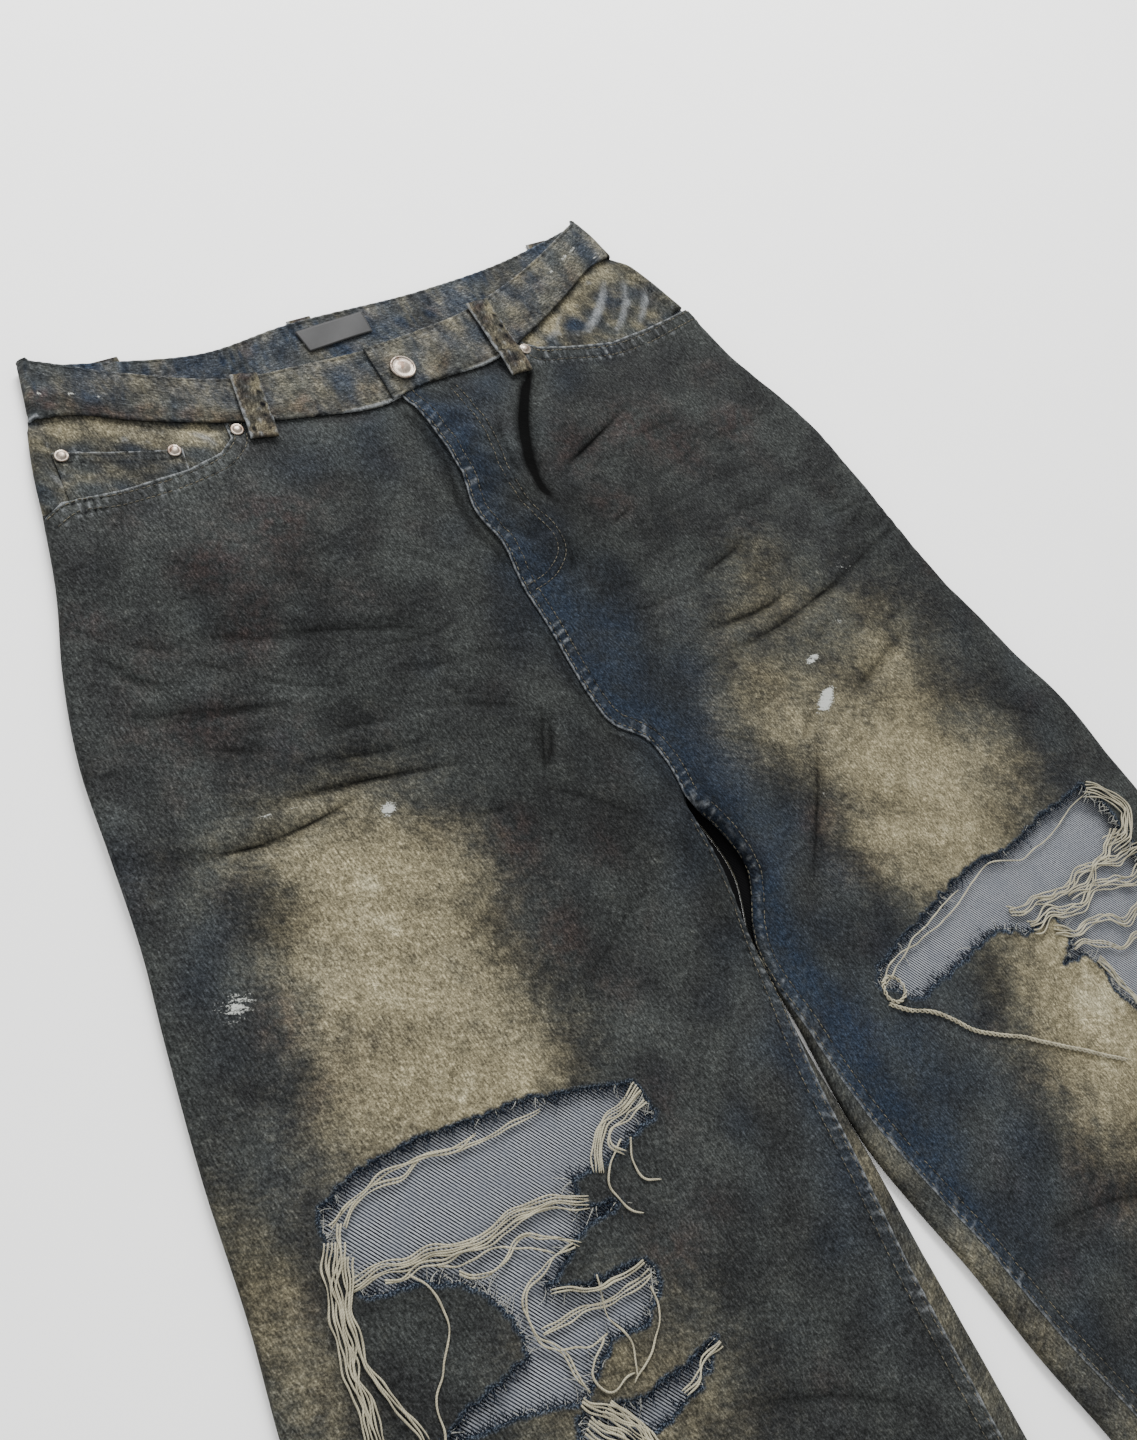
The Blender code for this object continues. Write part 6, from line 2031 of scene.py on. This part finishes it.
class JEANS_PG_studio(bpy.types.PropertyGroup):
    """Light of the stage."""

    key_power: FloatProperty(
        name="Key light", description="Power of the soft light above the waist",
        default=120, min=0, max=1000, unit="POWER")
    fill_power: FloatProperty(
        name="Fill light", description="Power of the light from the side",
        default=14, min=0, max=1000, unit="POWER")
    sky: FloatProperty(
        name="Room light", description="Strength of the even light from all round",
        default=1.15, min=0, max=5)


class JEANS_OT_pulled_yarns(bpy.types.Operator):
    """Lays the bundles of pulled weft yarns over the rips"""

    bl_idname = "jeans.pulled_yarns"
    bl_label = "Pulled yarns"

    def execute(self, context):
        radius = context.scene.jeans_sewing.yarn_radius / MM
        for node in STRANDS:
            piece = make_strands(node.replace("rip_threads", "pulled_yarns"), node, radius)
            settle(piece, [node])
        return {"FINISHED"}


class JEANS_OT_frayed_edges(bpy.types.Operator):
    """Adds the short cut ends along the edges of the rips"""

    bl_idname = "jeans.frayed_edges"
    bl_label = "Frayed edges"

    def execute(self, context):
        for side, leg in LEGS.items():
            settle(make_fringe(side, f"frayed_warp_{leg}", "indigo", True, 0.62, 5), [])
            settle(make_fringe(side, f"frayed_weft_{leg}", "edge_yarn", False, 0.8, 6), [])
        return {"FINISHED"}


class JEANS_OT_topstitching(bpy.types.Operator):
    """Sews the stitch rows of the front panels"""

    bl_idname = "jeans.topstitching"
    bl_label = "Topstitching"

    def execute(self, context):
        sizes = context.scene.jeans_sewing
        for side, leg in LEGS.items():
            rows = front_sewing(side, sizes.pitch / MM, sizes.length / MM, sizes.thick / MM)
            settle(sew(f"topstitching_{leg}", rows), [])
        return {"FINISHED"}


class JEANS_OT_front_panels(bpy.types.Operator):
    """Makes the front leg panels with their rips, creases and sewn edges"""

    bl_idname = "jeans.front_panels"
    bl_label = "Front panels"

    def execute(self, context):
        step = context.scene.jeans_denim.front_step / MM
        for side, leg in LEGS.items():
            names = (f"frayed_warp_{leg}", f"frayed_weft_{leg}", f"topstitching_{leg}")
            threads = [bpy.data.objects[name] for name in names]
            dress_cloth(make_front(side, f"cloth_front_{leg}", step), f"front_{leg}", with_pieces=threads)
        return {"FINISHED"}


class JEANS_OT_back_panels(bpy.types.Operator):
    """Makes the back leg panels that show inside the rips"""

    bl_idname = "jeans.back_panels"
    bl_label = "Back panels"

    def execute(self, context):
        step = context.scene.jeans_denim.back_step / MM
        for side, leg in LEGS.items():
            dress_cloth(make_back(side, f"cloth_back_{leg}", step), f"back_{leg}")
        return {"FINISHED"}


class JEANS_OT_yokes_and_back_pockets(bpy.types.Operator):
    """Makes the yokes and the patch pockets of the seat"""

    bl_idname = "jeans.yokes_and_back_pockets"
    bl_label = "Yokes and back pockets"

    def execute(self, context):
        for side, leg in LEGS.items():
            dress_cloth(make_yoke(side, f"cloth_yoke_{leg}"), f"yoke_{leg}")
            pocket = make_back_pocket(side, f"cloth_back_pocket_{leg}")
            dress_cloth(pocket, f"back_pocket_{leg}")
        return {"FINISHED"}


class JEANS_OT_front_pockets(bpy.types.Operator):
    """Makes the pocket facings and the coin pocket"""

    bl_idname = "jeans.front_pockets"
    bl_label = "Front pockets"

    def execute(self, context):
        for side, leg in LEGS.items():
            dress_cloth(make_facing(side, f"cloth_facing_{leg}"), f"pocket_facing_{leg}")
        dress_cloth(make_coin_pocket("cloth_coin_pocket"), "coin_pocket")
        return {"FINISHED"}


class JEANS_OT_waistband(bpy.types.Operator):
    """Makes the waistband, lapped at the middle front"""

    bl_idname = "jeans.waistband"
    bl_label = "Waistband"

    def execute(self, context):
        dress_cloth(make_waistband("cloth_waistband"), "waistband")
        return {"FINISHED"}


class JEANS_OT_belt_loops(bpy.types.Operator):
    """Makes the five belt loops"""

    bl_idname = "jeans.belt_loops"
    bl_label = "Belt loops"

    def execute(self, context):
        for node, ends in FRONT_LOOPS.items():
            dress_cloth(make_front_loop("cloth_" + node, ends), node)
        for node, x in BACK_LOOPS.items():
            dress_cloth(make_back_loop("cloth_" + node, x), node)
        return {"FINISHED"}


class JEANS_OT_zip(bpy.types.Operator):
    """Makes the zip's tape and gives its slider a metal finish"""

    bl_idname = "jeans.zip"
    bl_label = "Zip"

    def execute(self, context):
        dress_cloth(make_zip_tape("cloth_zip_tape"), "zip_tape")
        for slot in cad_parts["zip_slider"].material_slots:
            slot.material = finish("metal")
        return {"FINISHED"}


class JEANS_OT_button_and_rivets(bpy.types.Operator):
    """Makes the shank button and the four rivets"""

    bl_idname = "jeans.button_and_rivets"
    bl_label = "Button and rivets"

    def execute(self, context):
        settle(make_button("shank_button"), ["button"])
        for node, place in RIVETS.items():
            settle(make_rivet(node, place), [node])
        return {"FINISHED"}


class JEANS_OT_label(bpy.types.Operator):
    """Makes the bare label inside the back of the waistband"""

    bl_idname = "jeans.label"
    bl_label = "Label"

    def execute(self, context):
        settle(make_label("bare_label"), ["label"], [])
        return {"FINISHED"}


class JEANS_OT_stage(bpy.types.Operator):
    """Sets the camera, the floor and the lights"""

    bl_idname = "jeans.stage"
    bl_label = "Stage"

    def execute(self, context):
        studio = context.scene.jeans_studio
        make_stage(studio.key_power, studio.fill_power, studio.sky)
        return {"FINISHED"}


SETTINGS = {"jeans_denim": JEANS_PG_denim, "jeans_sewing": JEANS_PG_sewing, "jeans_studio": JEANS_PG_studio}
OPERATORS = (
    JEANS_OT_pulled_yarns, JEANS_OT_frayed_edges, JEANS_OT_topstitching, JEANS_OT_front_panels,
    JEANS_OT_back_panels, JEANS_OT_yokes_and_back_pockets, JEANS_OT_front_pockets, JEANS_OT_waistband,
    JEANS_OT_belt_loops, JEANS_OT_zip, JEANS_OT_button_and_rivets, JEANS_OT_label, JEANS_OT_stage,
)


class JEANS_PT_panel(bpy.types.Panel):
    """The settings and the steps of the jeans"""

    bl_idname = "JEANS_PT_panel"
    bl_label = "Ripped jeans"
    bl_space_type = "VIEW_3D"
    bl_region_type = "UI"
    bl_category = "Jeans"

    def draw(self, context):
        for name, group in SETTINGS.items():
            box = self.layout.box()
            for field in group.__annotations__:
                box.prop(getattr(context.scene, name), field)
        for operator in OPERATORS:
            self.layout.operator(operator.bl_idname)


def register():
    for group in (*SETTINGS.values(), *OPERATORS, JEANS_PT_panel):
        bpy.utils.register_class(group)
    for name, group in SETTINGS.items():
        setattr(bpy.types.Scene, name, PointerProperty(type=group))


def unregister():
    for name in SETTINGS:
        delattr(bpy.types.Scene, name)
    for group in (JEANS_PT_panel, *OPERATORS, *SETTINGS.values()):
        bpy.utils.unregister_class(group)


def main():
    """Makes every piece in order."""
    register()
    for operator in OPERATORS:
        getattr(bpy.ops.jeans, operator.bl_idname.partition(".")[2])()


if __name__ == "__main__":
    main()
